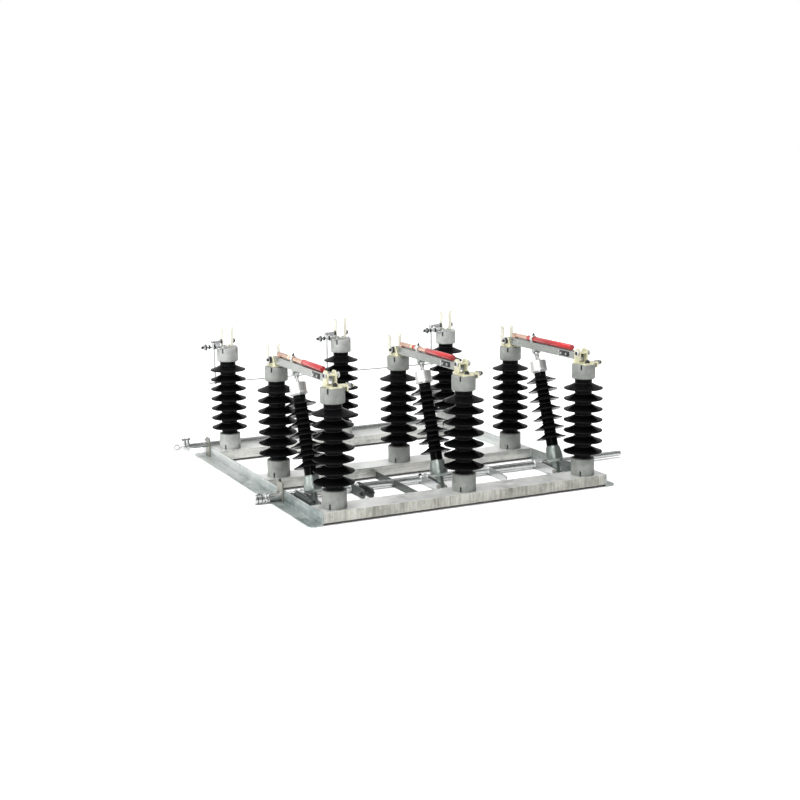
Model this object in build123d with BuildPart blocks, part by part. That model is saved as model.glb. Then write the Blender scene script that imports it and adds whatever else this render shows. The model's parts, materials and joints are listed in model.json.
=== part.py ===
"""Outdoor three-phase disconnect switch with fuse bases: nine posts on a steel frame.

The frame: +X runs across the phases, +Y from the jaw row to the fuse row, +Z up.
The origin is the centre of the four ground bolt holes, on the underside.
"""

from build123d import *
import os
from math import hypot

os.makedirs("parts", exist_ok=True)

# ---- base frame -------------------------------------------------------------
PHASE_PITCH = 540.0
PHASES = (-PHASE_PITCH, 0.0, PHASE_PITCH)
FRONT_ROW = -625.0
MIDDLE_ROW = -65.0
REAR_ROW = 525.0
FRAME_LENGTH = 1370.0
WEB_OUTER = 615.0
FLANGE_OUTER = 665.0
ANGLE_HEIGHT = 50.0
ANGLE_THICKNESS = 5.0
ANGLE_CORNER = 30.0
RAIL_WIDTH = 116.0
RAIL_HEIGHT = 40.0
RAIL_THICKNESS = 4.0
TIE_HEIGHT = 30.0
SEAT = ANGLE_HEIGHT
GROUND_HOLES_X = 1284.0
GROUND_HOLES_Y = 1200.0
GROUND_HOLE_RADIUS = 7.0

# ---- post insulators --------------------------------------------------------
POST_HEIGHT = 445.0
POST_TOP = SEAT + POST_HEIGHT
FITTING_RADIUS = 46.0
FITTING_CHAMFER = 3.0
BASE_FITTING_HEIGHT = 68.0
CAP_HEIGHT = 58.0
TRUNK_RADIUS = 34.0
SHED_RADIUS = 77.0
SHED_COUNT = 7
LOW_SHED = 91.0
SHED_PITCH = 42.5
SHED_RISE = 23.0
SHED_UNDERCUT = 5.0
SHED_RIM = 3.0
SLOT_WIDTH = 6.0
SLOT_HEIGHT = 20.0
SLOT_DEPTH = 9.0

# ---- switching linkage, as (Y, Z) points ------------------------------------
BLADE_PIVOT = (MIDDLE_ROW, 522.0)
LINK_TOP = (-273.0, 500.0)
CRANK_PIN = (-440.0, 20.0)
SHAFT = (-280.0, 20.0)
SHAFT_RADIUS = 14.0
SHAFT_LEFT = -725.0
SHAFT_RIGHT = 965.0
DRIVE_END_RADIUS = 12.0
DRIVE_END_LENGTH = 300.0
SHAFT_CLEARANCE = 1.0
BEARING_CLEARANCE = 0.05
PIN_RADIUS = 6.0
PIN_CLEARANCE = 0.1
CRANK_GAP = 16.0
LEVER_THICKNESS = 6.0

# ---- blades -----------------------------------------------------------------
BLADE_WIDTH = 26.0
BLADE_HEIGHT = 30.0
BLADE_WALL = 3.0
BLADE_TIP = -606.0
SLEEVE_RADIUS = 11.0
ROD_RADIUS = 8.5
ROD_HEIGHT = BLADE_PIVOT[1] + BLADE_HEIGHT / 2 + SLEEVE_RADIUS + 1
SLEEVE_FRONT = -540.0
SLEEVE_REARS = (-355.0, -327.0, -213.0)
ROD_REAR = -96.0
CLAMP_Y = -252.0
CLAMP_LENGTH = 16.0
CLAMP_WALL = 3.0
LUG_RADIUS = 11.0
LINK_PIN_RADIUS = 4.0
LINK_EYE = 16.0
LINK_EYE_OFFSET = -3.1
STRAP_THICKNESS = 6.0
STRAP_RADIUS = 14.0

# ---- contacts ---------------------------------------------------------------
PLATE = 6.0
BED = POST_TOP + PLATE
STRIP_WIDTH = 50.0
CHEEK = 5.0
HINGE_RADIUS = 16.0
JAW_GAP = 27.0
JAW_TOP = 553.0
JAW_DEPTH = 38.0
CLIP_GAP = 43.0
MIDDLE_CLIP_TOP = 582.0
REAR_CLIP_TOP = 589.0
CLIP_WAIST = 570.0
CLIP_DEPTH = 26.0
CLIP_THICKNESS = 3.0
PAD_FACE = 56.0
PAD_WIDTH = 36.0
PAD_FOOT = 478.0
STUD_RADIUS = 5.0

# ---- push insulators, as distances along the leaning axis -------------------
PUSH_FOOT = (40.0, 104.0)
PUSH_CAP = (420.0, 467.0)
PUSH_FITTING_RADIUS = 35.0
PUSH_TRUNK = 24.0
PUSH_SHED_RADIUS = 58.0
PUSH_SHED_RISE = 20.0
PUSH_SHED_UNDERCUT = 9.0
PUSH_SHED_COUNT = 7
PUSH_SHED_PITCH = 40.0
PUSH_FIRST_SHED = 138.0

# ---- trip gear at the rear --------------------------------------------------
REAR_SHAFT = (601.0, 58.0)
REAR_SHAFT_RADIUS = 12.0
REAR_SHAFT_LEFT = -750.0
TRIP_PIVOT = (610.0, 508.0)
TRIP_ROD_HEIGHT = 330.0
TRIP_ROD_RADIUS = 3.0
TRIP_OFFSET = -34.0


def save(piece, name):
    """Label a finished piece and write it under its own name."""
    piece.part.label = name
    export_step(piece.part, f"parts/{name}.step")


# ---- base frame -------------------------------------------------------------
def side_angle(side):
    """One rolled angle along the side: web inside, flange out along the ground."""
    outer_y = FRAME_LENGTH / 2
    with BuildPart() as angle:
        with BuildSketch(Plane.XY):
            with BuildLine():
                Polyline(
                    (side * (WEB_OUTER - ANGLE_THICKNESS), -outer_y),
                    (side * FLANGE_OUTER, -outer_y),
                    (side * FLANGE_OUTER, outer_y),
                    (side * (WEB_OUTER - ANGLE_THICKNESS), outer_y),
                    close=True,
                )
            make_face()
        extrude(amount=ANGLE_THICKNESS)
        fillet(
            angle.edges().filter_by(Axis.Z).filter_by_position(
                Axis.X, FLANGE_OUTER - 1, FLANGE_OUTER + 1
            ) if side > 0 else
            angle.edges().filter_by(Axis.Z).filter_by_position(
                Axis.X, -FLANGE_OUTER - 1, -FLANGE_OUTER + 1
            ),
            radius=ANGLE_CORNER,
        )
        with BuildSketch(Plane.XY):
            with Locations((side * (WEB_OUTER - ANGLE_THICKNESS / 2), 0)):
                Rectangle(ANGLE_THICKNESS, FRAME_LENGTH)
        extrude(amount=ANGLE_HEIGHT)
        with Locations(
            *[
                (side * GROUND_HOLES_X / 2, y, ANGLE_THICKNESS)
                for y in (-GROUND_HOLES_Y / 2, GROUND_HOLES_Y / 2)
            ]
        ):
            Hole(GROUND_HOLE_RADIUS)
        with BuildSketch(Plane.YZ):
            with Locations(SHAFT):
                Circle(SHAFT_RADIUS + SHAFT_CLEARANCE)
            with Locations(REAR_SHAFT):
                Circle(REAR_SHAFT_RADIUS + SHAFT_CLEARANCE)
        extrude(amount=side * WEB_OUTER, mode=Mode.SUBTRACT)
    return angle


def cross_rail(row):
    """A folded channel laid open side down, with bolt holes under each post."""
    length = 2 * (WEB_OUTER - ANGLE_THICKNESS)
    with BuildPart() as rail:
        with BuildSketch(Plane.YZ.offset(-length / 2)):
            with Locations((row, SEAT - RAIL_HEIGHT / 2)):
                Rectangle(RAIL_WIDTH, RAIL_HEIGHT)
            with Locations((row, SEAT - RAIL_THICKNESS - RAIL_HEIGHT / 2)):
                Rectangle(
                    RAIL_WIDTH - 2 * RAIL_THICKNESS, RAIL_HEIGHT, mode=Mode.SUBTRACT
                )
        extrude(amount=length)
        with Locations(*[(x, row, SEAT) for x in PHASES]):
            with GridLocations(50, 50, 2, 2):
                Hole(7)
    return rail


for side, name in ((-1, "left_side_angle"), (1, "right_side_angle")):
    save(side_angle(side), name)

for row, name in ((FRONT_ROW, "front"), (MIDDLE_ROW, "middle"), (REAR_ROW, "rear")):
    save(cross_rail(row), f"{name}_rail")


# ---- post insulators --------------------------------------------------------
def shed_profile(radius, trunk, rise, undercut, tips, low, high):
    """Half outline of a ribbed housing: trunk, then one sloping shed at each tip."""
    points = [(0, low), (trunk, low)]
    for tip in tips:
        points.append((trunk, tip + undercut))
        points.append((radius, tip))
        points.append((radius, tip + SHED_RIM))
        points.append((trunk, tip + rise))
    points += [(trunk, high), (0, high)]
    return points


def post_housing(x, y):
    """The ribbed rubber body of one post, turned about its own axis."""
    tips = [LOW_SHED + i * SHED_PITCH for i in range(SHED_COUNT)]
    outline = shed_profile(
        SHED_RADIUS, TRUNK_RADIUS, SHED_RISE, SHED_UNDERCUT, tips,
        BASE_FITTING_HEIGHT, POST_HEIGHT - CAP_HEIGHT,
    )
    turning = Plane(origin=(x, y, SEAT), x_dir=(1, 0, 0), z_dir=(0, -1, 0))
    with BuildPart() as housing:
        with BuildSketch(turning):
            with BuildLine():
                Polyline(*outline, close=True)
            make_face()
        revolve(axis=Axis((x, y, SEAT), (0, 0, 1)))
    return housing


def post_fittings(row):
    """The metal base and cap of the three posts of a row."""
    with BuildPart() as fittings:
        for x in PHASES:
            for low, height, slot_z in (
                (SEAT, BASE_FITTING_HEIGHT, SEAT + SLOT_HEIGHT / 2),
                (POST_TOP - CAP_HEIGHT, CAP_HEIGHT, POST_TOP - SLOT_HEIGHT / 2),
            ):
                with BuildSketch(Plane.XY.offset(low)):
                    with Locations((x, row)):
                        Circle(FITTING_RADIUS)
                extrude(amount=height)
                with Locations((x, row, slot_z)):
                    with PolarLocations(FITTING_RADIUS, 4, start_angle=45):
                        Box(2 * SLOT_DEPTH, SLOT_WIDTH, SLOT_HEIGHT, mode=Mode.SUBTRACT)
        chamfer(
            fittings.edges().filter_by(GeomType.CIRCLE).filter_by_position(
                Axis.Z, SEAT + BASE_FITTING_HEIGHT - 1, POST_TOP - CAP_HEIGHT + 1
            ),
            length=FITTING_CHAMFER,
        )
    return fittings


for row, row_name in ((FRONT_ROW, "front"), (MIDDLE_ROW, "middle"), (REAR_ROW, "rear")):
    for number, x in enumerate(PHASES, 1):
        save(post_housing(x, row), f"{row_name}_post_{number}")
    save(post_fittings(row), f"{row_name}_post_fittings")


# ---- hinges, jaws, clips and terminals --------------------------------------
def plate_between(x, thickness, outline):
    """Upright plate across X whose outline is the hull of circles (y, z, radius)."""
    with BuildSketch(Plane.YZ.offset(x)) as plate:
        for y, z, radius in outline:
            with Locations((y, z)):
                Circle(radius)
        make_hull()
    extrude(plate.sketch, amount=thickness)


def round_bar(plane, centre, radius, length, mode=Mode.ADD):
    """Round bar standing on a plane, centred on a point of it."""
    with BuildSketch(plane) as section:
        with Locations(centre):
            Circle(radius)
    extrude(section.sketch, amount=length, mode=mode)


def hinge(x):
    """Base plate on the middle post with two cheeks and the blade's pivot pin."""
    y, z = BLADE_PIVOT
    inside = BLADE_WIDTH / 2 + 1
    with BuildPart() as bracket:
        with BuildSketch(Plane.XY.offset(POST_TOP)):
            with Locations((x, y + 6)):
                RectangleRounded(STRIP_WIDTH, 76, 8)
        extrude(amount=PLATE)
        for side in (-1, 1):
            with BuildSketch(Plane.YZ.offset(x + side * inside)):
                with Locations((y, z)):
                    Circle(HINGE_RADIUS)
                with Locations((y - 8, BED + 1)):
                    Rectangle(44, 2)
                make_hull()
            extrude(amount=side * CHEEK)
        round_bar(Plane.YZ.offset(x - inside - CHEEK), BLADE_PIVOT, PIN_RADIUS, 2 * (inside + CHEEK))
    return bracket


def fuse_clips(y, top):
    """One fuse clip on each post of a row: sprung sides, pinched in below flared lips."""
    half = CLIP_GAP / 2
    with BuildPart() as clips:
        for x in PHASES:
            with BuildSketch(Plane.XZ.offset(-y - CLIP_DEPTH / 2)):
                with BuildLine():
                    foot = Line((x - half, BED + CLIP_THICKNESS / 2), (x + half, BED + CLIP_THICKNESS / 2))
                    for side, end in ((-1, foot @ 0), (1, foot @ 1)):
                        Polyline(end, (x + side * (half + 3), BED + 34),
                                 (x + side * half, CLIP_WAIST), (x + side * (half + 5), top))
                trace(line_width=CLIP_THICKNESS)
            extrude(amount=CLIP_DEPTH)
    return clips


def terminal_pad(x, y, side):
    """Base strip along a cap with an arm across it, turned down outside the cap."""
    with BuildSketch(Plane.XY.offset(POST_TOP)) as bed:
        with Locations((x, y)):
            RectangleRounded(STRIP_WIDTH, 84, 8)
        with Locations((x + side * PAD_FACE / 2, y)):
            Rectangle(PAD_FACE, PAD_WIDTH)
    extrude(bed.sketch, amount=PLATE)
    with BuildSketch(Plane.YZ.offset(x + side * PAD_FACE)) as flange:
        with Locations((y, (PAD_FOOT + BED) / 2)):
            Rectangle(PAD_WIDTH, BED - PAD_FOOT)
    extrude(flange.sketch, amount=-side * PLATE)


def jaw(x):
    """Two contact cheeks on the front post that take the blade's tip."""
    y = FRONT_ROW
    with BuildPart() as contact:
        terminal_pad(x, y, 1)
        for side in (-1, 1):
            face = x + side * JAW_GAP / 2
            with BuildSketch(Plane.YZ.offset(face)):
                with BuildLine():
                    Polyline((y, BED), (y + JAW_DEPTH, BED), (y + JAW_DEPTH, JAW_TOP - 10),
                             (y + JAW_DEPTH - 10, JAW_TOP), (y + 9, JAW_TOP),
                             (y, JAW_TOP - 9), close=True)
                make_face()
            extrude(amount=side * PLATE)
            with Locations((face + side * 5, y + JAW_DEPTH / 2, BED + PLATE / 2)):
                Box(10, JAW_DEPTH, PLATE)
        round_bar(Plane.YZ.offset(x - 32), (y + 8, JAW_TOP - 16), 4, 64)
        round_bar(Plane.YZ.offset(x + PAD_FACE), (y, POST_TOP), STUD_RADIUS, 28)
    return contact


def rear_terminals():
    """Base plates on the rear posts, each with a terminal stud and a trip lever arm."""
    with BuildPart() as terminals:
        for x in PHASES:
            with BuildSketch(Plane.XY.offset(POST_TOP)):
                with Locations((x - 6, REAR_ROW)):
                    RectangleRounded(92, 64, 10)
            extrude(amount=PLATE)
            with Locations((x - 44, REAR_ROW, BED + 5)):
                Box(16, 30, 22)
            round_bar(Plane.YZ.offset(x - 50), (REAR_ROW, BED + 2), STUD_RADIUS, -70)
            ear = x + TRIP_OFFSET - 5
            with Locations((ear, (REAR_ROW + TRIP_PIVOT[0]) / 2 + 12, BED - 3)):
                Box(4, TRIP_PIVOT[0] - REAR_ROW - 10, PLATE)
            plate_between(ear - 2, 4, ((*TRIP_PIVOT, 10), (TRIP_PIVOT[0] - 14, BED - 1, 5)))
            round_bar(Plane.YZ.offset(ear - 3), TRIP_PIVOT, 3, 12)
    return terminals


for number, x in enumerate(PHASES, 1):
    save(hinge(x), f"blade_hinge_{number}")
    save(jaw(x), f"blade_jaw_{number}")

save(fuse_clips(MIDDLE_ROW + 30, MIDDLE_CLIP_TOP), "middle_fuse_clips")
save(fuse_clips(REAR_ROW, REAR_CLIP_TOP), "rear_fuse_clips")
save(rear_terminals(), "rear_terminals")


# ---- blades -----------------------------------------------------------------
def across(x, y):
    """Plane square to the blade at a place along it, with X to the right and Z up."""
    return Plane(origin=(x, y, 0), x_dir=(1, 0, 0), z_dir=(0, -1, 0))


def blade(x, grip):
    """Inverted channel, round at the heel, with lugs for the push link and a rod clamp."""
    y, z = BLADE_PIVOT
    half = BLADE_HEIGHT / 2
    length = y - BLADE_TIP
    with BuildPart() as channel:
        with BuildSketch(Plane.YZ.offset(x - BLADE_WIDTH / 2)):
            with Locations(((y + BLADE_TIP) / 2, z)):
                Rectangle(length, BLADE_HEIGHT)
            with Locations(BLADE_PIVOT):
                Circle(half)
        extrude(amount=BLADE_WIDTH)
        with Locations((x, (y + BLADE_TIP) / 2, z - BLADE_WALL)):
            Box(BLADE_WIDTH - 2 * BLADE_WALL, length + 2 * half, BLADE_HEIGHT, mode=Mode.SUBTRACT)
        round_bar(Plane.YZ.offset(x - BLADE_WIDTH), BLADE_PIVOT, PIN_RADIUS + PIN_CLEARANCE,
                  2 * BLADE_WIDTH, Mode.SUBTRACT)
        for side in (-1, 1):
            plate_between(x + side * BLADE_WIDTH / 2, -side * BLADE_WALL,
                          ((*LINK_TOP, LUG_RADIUS), (LINK_TOP[0] - 16, z, 3), (LINK_TOP[0] + 16, z, 3)))
        round_bar(Plane.YZ.offset(x - BLADE_WIDTH / 2), LINK_TOP, LINK_PIN_RADIUS, BLADE_WIDTH)
        with BuildSketch(across(x, CLAMP_Y + CLAMP_LENGTH / 2)):
            with Locations((0, (z + half + ROD_HEIGHT) / 2)):
                Rectangle(2 * grip, ROD_HEIGHT - z - half)
            with Locations((0, ROD_HEIGHT)):
                Circle(grip + CLAMP_WALL)
            with Locations((0, ROD_HEIGHT)):
                Circle(grip, mode=Mode.SUBTRACT)
        extrude(amount=CLAMP_LENGTH)
    return channel


def arc_rod(x):
    """Copper rod over the blade, on a block at the hinge end."""
    top = BLADE_PIVOT[1] + BLADE_HEIGHT / 2
    with BuildPart() as rod:
        round_bar(across(x, ROD_REAR), (0, ROD_HEIGHT), ROD_RADIUS, ROD_REAR - SLEEVE_FRONT)
        with Locations((x, ROD_REAR - 10, (top + ROD_HEIGHT) / 2)):
            Box(16, 20, ROD_HEIGHT - top)
    return rod


def arc_sleeve(x, rear):
    """Red arc-quenching sleeve round the front of the rod."""
    with BuildPart() as sleeve:
        with BuildSketch(across(x, rear)):
            with Locations((0, ROD_HEIGHT)):
                Circle(SLEEVE_RADIUS)
                Circle(ROD_RADIUS, mode=Mode.SUBTRACT)
        extrude(amount=rear - SLEEVE_FRONT)
    return sleeve


for number, (x, rear) in enumerate(zip(PHASES, SLEEVE_REARS), 1):
    grip = SLEEVE_RADIUS if rear > CLAMP_Y else ROD_RADIUS
    save(blade(x, grip), f"blade_{number}")
    save(arc_rod(x), f"arc_rod_{number}")
    save(arc_sleeve(x, rear), f"arc_tube_{number}")


# ---- push insulators --------------------------------------------------------
LEAN_Y = LINK_TOP[0] - CRANK_PIN[0]
LEAN_Z = LINK_TOP[1] - CRANK_PIN[1]
LINK_LENGTH = hypot(LEAN_Y, LEAN_Z)
ALONG = (0.0, LEAN_Y / LINK_LENGTH, LEAN_Z / LINK_LENGTH)
BACKWARD = (0.0, ALONG[2], -ALONG[1])


def link_side(offset):
    """Plane beside the leaning axis: its X runs up the link, its Y to the front."""
    return Plane(origin=(offset, *CRANK_PIN), x_dir=ALONG, z_dir=(1, 0, 0))


def turned(x, outline):
    """Solid of revolution about the leaning axis, from (radius, distance) points."""
    section = Plane(origin=(x, *CRANK_PIN), x_dir=BACKWARD, z_dir=(1, 0, 0))
    with BuildSketch(section) as profile:
        with BuildLine():
            Polyline(*outline, close=True)
        make_face()
    revolve(profile.sketch, axis=Axis((x, *CRANK_PIN), ALONG))


def push_housing(x):
    """The slender ribbed rod that pushes the blade."""
    tips = [PUSH_FIRST_SHED + i * PUSH_SHED_PITCH for i in range(PUSH_SHED_COUNT)]
    with BuildPart() as housing:
        outline = shed_profile(
            PUSH_SHED_RADIUS, PUSH_TRUNK, PUSH_SHED_RISE, PUSH_SHED_UNDERCUT, tips,
            PUSH_FOOT[1], PUSH_CAP[0],
        )
        turned(x, outline)
    return housing


def push_fittings(x):
    """Lower fitting with the crank's eye, and the bell cap with its forked strap."""
    foot = PUSH_CAP[1] - 1
    neck = (PUSH_CAP[1] + LINK_LENGTH) / 2
    wide = PUSH_FITTING_RADIUS
    with BuildPart() as fittings:
        turned(x, [(0, PUSH_FOOT[0]), (wide - 11, PUSH_FOOT[0]), (wide, PUSH_FOOT[0] + 10),
                   (wide, PUSH_FOOT[0] + 26), (wide - 7, PUSH_FOOT[1]), (0, PUSH_FOOT[1])])
        turned(x, [(0, PUSH_CAP[0]), (wide, PUSH_CAP[0]), (wide, PUSH_CAP[0] + 7),
                   (wide - 2, PUSH_CAP[0] + 9), (wide - 2, PUSH_CAP[1] - 3),
                   (wide - 5, PUSH_CAP[1]), (0, PUSH_CAP[1])])
        with BuildSketch(link_side(x - CRANK_GAP / 2 + 1)):
            Circle(STRAP_RADIUS)
            with Locations((PUSH_FOOT[0], 0)):
                Rectangle(2, 34)
            make_hull()
            Circle(PIN_RADIUS + PIN_CLEARANCE, mode=Mode.SUBTRACT)
        extrude(amount=CRANK_GAP - 2)
        with BuildSketch(link_side(x - STRAP_THICKNESS / 2)):
            with BuildLine():
                Polyline((foot, -18), (neck, -9), (LINK_LENGTH, -9), (LINK_LENGTH, 9), (neck, 9),
                         (foot, 18), (foot, 10), (neck - 6, 0), (foot, -10), close=True)
            make_face()
            with Locations((LINK_LENGTH + LINK_EYE_OFFSET, LINK_EYE_OFFSET)):
                Circle(STRAP_RADIUS)
                RectangleRounded(LINK_EYE, LINK_EYE, 3, mode=Mode.SUBTRACT)
        extrude(amount=STRAP_THICKNESS)
    return fittings


for number, x in enumerate(PHASES, 1):
    save(push_housing(x), f"push_insulator_{number}")
    save(push_fittings(x), f"push_fittings_{number}")


# ---- operating shaft --------------------------------------------------------
def lever_pair(x, gap, outline):
    """Two parallel plates, a gap apart, each the hull of circles (y, z, radius)."""
    for side in (-1, 1):
        plate_between(x + side * gap / 2, side * LEVER_THICKNESS, outline)


with BuildPart() as operating_shaft:
    shoulder = SHAFT_RIGHT - DRIVE_END_LENGTH
    round_bar(Plane.YZ.offset(SHAFT_LEFT), SHAFT, SHAFT_RADIUS, shoulder - SHAFT_LEFT)
    round_bar(Plane.YZ.offset(shoulder), SHAFT, DRIVE_END_RADIUS, DRIVE_END_LENGTH)
    for left, length, radius in ((SHAFT_LEFT, 37, 17), (-684, 7, 19), (-674, 7, 19)):
        round_bar(Plane.YZ.offset(left), SHAFT, radius, length)
    for x in PHASES:
        lever_pair(x, CRANK_GAP, ((*SHAFT, 19), (*CRANK_PIN, 14)))
        round_bar(Plane.YZ.offset(x - CRANK_GAP / 2 - LEVER_THICKNESS), CRANK_PIN, PIN_RADIUS,
                  CRANK_GAP + 2 * LEVER_THICKNESS)
    lever_pair(-303, 30, ((*SHAFT, 18), (SHAFT[0] - 115, SHAFT[1], 18)))
    plate_between(300, LEVER_THICKNESS,
                  ((*SHAFT, 17), (SHAFT[0] + 80, SHAFT[1], 7), (SHAFT[0] - 145, SHAFT[1] - 4, 9)))
save(operating_shaft, "operating_shaft")


# ---- shaft supports and trip gear -------------------------------------------
def bearing(side, centre, half_width, high, bore):
    """Upright plate on the outside of the web, round at the top, bored for a shaft."""
    with BuildSketch(Plane.YZ.offset(side * WEB_OUTER)) as plate:
        with Locations((centre[0], (ANGLE_THICKNESS + high) / 2)):
            Rectangle(2 * half_width, high - ANGLE_THICKNESS)
        fillet(plate.vertices().group_by(Axis.Y)[-1], radius=10)
        with Locations(centre):
            Circle(bore, mode=Mode.SUBTRACT)
    extrude(plate.sketch, amount=side * PLATE)


with BuildPart() as shaft_bearings:
    for side in (-1, 1):
        bearing(side, SHAFT, 30, 80, SHAFT_RADIUS + BEARING_CLEARANCE)
        bearing(side, REAR_SHAFT, 25, 90, REAR_SHAFT_RADIUS + BEARING_CLEARANCE)
save(shaft_bearings, "shaft_bearings")

with BuildPart() as centre_tie:
    front = FRONT_ROW + RAIL_WIDTH / 2
    rear = MIDDLE_ROW - RAIL_WIDTH / 2
    with Locations((-133, (front + rear) / 2, TIE_HEIGHT / 2)):
        Box(PLATE, rear - front, TIE_HEIGHT)
    round_bar(Plane.YZ.offset(-140), SHAFT, SHAFT_RADIUS + SHAFT_CLEARANCE, 14, Mode.SUBTRACT)
save(centre_tie, "centre_tie")

with BuildPart() as trip_shaft:
    y, z = REAR_SHAFT
    round_bar(Plane.YZ.offset(REAR_SHAFT_LEFT), REAR_SHAFT, REAR_SHAFT_RADIUS,
              WEB_OUTER + 30 - REAR_SHAFT_LEFT)
    for left in (-731, -715):
        plate_between(left, 8, ((y, z, 22), (y, z + 32, 11)))
    with BuildSketch(Plane.XZ.offset(-y - 4)):
        with Locations((REAR_SHAFT_LEFT - 11, z)):
            Circle(15)
            Circle(7, mode=Mode.SUBTRACT)
    extrude(amount=8)
save(trip_shaft, "trip_shaft")

with BuildPart() as trip_rod:
    y, z = TRIP_PIVOT
    round_bar(Plane.YZ.offset(PHASES[0] - 60), (y, TRIP_ROD_HEIGHT), TRIP_ROD_RADIUS,
              PHASES[2] - PHASES[0] + 50)
    for x in PHASES:
        plate_between(x + TRIP_OFFSET, 3, ((y, z, 8), (y, TRIP_ROD_HEIGHT, 7)))
        round_bar(Plane.YZ.offset(x + TRIP_OFFSET - 1), TRIP_PIVOT, 3.1, 5, Mode.SUBTRACT)
save(trip_rod, "trip_rod")
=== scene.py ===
"""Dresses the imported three-phase disconnect switch.

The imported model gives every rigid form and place. This script adds the finishes, the moulded
housings, the fasteners, springs and welds, and a plain studio. All sizes are in metres, in the
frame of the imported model: X across the phases, Y from the jaw row to the fuse row, Z up.
"""

import json
import logging
import math
from collections.abc import Callable, Sequence
from dataclasses import dataclass, field
from enum import Enum, IntEnum

import bmesh
import bpy
from mathutils import Matrix, Vector


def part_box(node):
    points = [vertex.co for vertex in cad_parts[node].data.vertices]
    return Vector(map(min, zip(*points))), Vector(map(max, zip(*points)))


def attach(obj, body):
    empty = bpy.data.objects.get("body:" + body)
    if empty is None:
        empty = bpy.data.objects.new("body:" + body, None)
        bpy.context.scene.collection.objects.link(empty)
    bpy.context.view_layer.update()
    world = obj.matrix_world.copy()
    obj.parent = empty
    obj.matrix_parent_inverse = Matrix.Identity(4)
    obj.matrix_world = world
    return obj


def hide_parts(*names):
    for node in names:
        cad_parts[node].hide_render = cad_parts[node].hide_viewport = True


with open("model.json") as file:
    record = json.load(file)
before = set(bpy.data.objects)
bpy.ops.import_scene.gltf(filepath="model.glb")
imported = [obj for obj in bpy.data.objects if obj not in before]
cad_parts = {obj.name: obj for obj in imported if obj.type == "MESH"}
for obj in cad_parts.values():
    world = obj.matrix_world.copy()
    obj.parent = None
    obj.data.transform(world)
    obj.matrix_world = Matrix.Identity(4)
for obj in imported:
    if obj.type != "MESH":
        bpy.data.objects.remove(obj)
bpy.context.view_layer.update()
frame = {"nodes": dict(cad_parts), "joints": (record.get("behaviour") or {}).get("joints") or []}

LOG = logging.getLogger("disconnect_switch")
UP = Vector((0.0, 0.0, 1.0))
RIGHT = Vector((1.0, 0.0, 0.0))
REARWARD = Vector((0.0, 1.0, 0.0))

Colour = tuple[float, float, float]
Point = tuple[float, float, float]
Outline = Sequence[tuple[float, float]]
Socket = bpy.types.NodeSocket


# ---- places -----------------------------------------------------------------
class Row(Enum):
    """The three rows of posts."""

    FRONT = "front"
    MIDDLE = "middle"
    REAR = "rear"


class Side(IntEnum):
    """The two sides of the frame, or of a blade, as directions along X."""

    LEFT = -1
    RIGHT = 1


@dataclass(frozen=True)
class Layout:
    """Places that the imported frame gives, and the upper link pins, which have no joint there.

    Args:
        phases: X of the three phases.
        rows: Y of each row of posts.
        seat: Height of the rails' top.
        post_top: Height of the posts' top.
        shaft: Y and Z of the operating shaft.
        rear_shaft: Y and Z of the trip shaft.
        trip_pivot: Y and Z of the trip levers' pivot.
        blade_pivot: Y and Z of the blades' pivot.
        crank_pin: Y and Z of the crank pins.
        link_top: Y and Z of the pins between push insulators and blades.
    """

    phases: tuple[float, ...]
    rows: dict[Row, float]
    seat: float
    post_top: float
    shaft: tuple[float, float]
    rear_shaft: tuple[float, float]
    trip_pivot: tuple[float, float]
    blade_pivot: tuple[float, float]
    crank_pin: tuple[float, float]
    link_top: tuple[float, float] = (-0.273, 0.500)

    @classmethod
    def read(cls) -> "Layout":
        """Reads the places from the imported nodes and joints.

        Returns:
            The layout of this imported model.
        """
        joints = {joint["name"]: joint["pos_m"] for joint in frame["joints"]}

        def middle(node: str, axis: int) -> float:
            """Middle of a node's box along one axis."""
            low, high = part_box(node)
            return (low[axis] + high[axis]) / 2

        return cls(
            phases=tuple(middle(f"front_post_{n}", 0) for n in (1, 2, 3)),
            rows={row: middle(f"{row.value}_post_2", 1) for row in Row},
            seat=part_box("front_rail")[1].z,
            post_top=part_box("front_post_fittings")[1].z,
            shaft=tuple(joints["shaft_turn"][1:]),
            rear_shaft=tuple(joints["trip_shaft_turn"][1:]),
            trip_pivot=tuple(joints["trip_rod_swing"][1:]),
            blade_pivot=tuple(joints["blade_2_open"][1:]),
            crank_pin=tuple(joints["push_2_swing"][1:]),
        )


def facing(origin: Sequence[float], along: Vector) -> Matrix:
    """Placement whose own Z points along a direction.

    Args:
        origin: Where the shape's foot stands.
        along: Direction of the shape's own Z.

    Returns:
        The placement matrix.
    """
    return Matrix.Translation(Vector(origin)) @ along.to_track_quat("Z", "Y").to_matrix().to_4x4()


def outward(origin: Sequence[float], side: int) -> Matrix:
    """Placement whose own Z points to the left (-1) or to the right (1)."""
    return facing(origin, side * RIGHT)


def raised(place: Matrix, distance: float) -> Matrix:
    """A placement moved along its own Z."""
    return place @ Matrix.Translation((0.0, 0.0, distance))


def arc(centre: Sequence[float], radius: float, start: float, stop: float,
        steps: int) -> list[tuple[float, float]]:
    """Points along an arc.

    Args:
        centre: The arc's centre.
        radius: The arc's radius.
        start: First angle, in degrees.
        stop: Last angle, in degrees.
        steps: Number of spans.

    Returns:
        The points, the first and the last included.
    """
    angles = [math.radians(start + (stop - start) * i / steps) for i in range(steps + 1)]
    return [(centre[0] + radius * math.cos(a), centre[1] + radius * math.sin(a)) for a in angles]


def whole_turn(count: int) -> list[float]:
    """Angles spread evenly round a whole turn, in radians."""
    return [2 * math.pi * i / count for i in range(count)]


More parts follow.
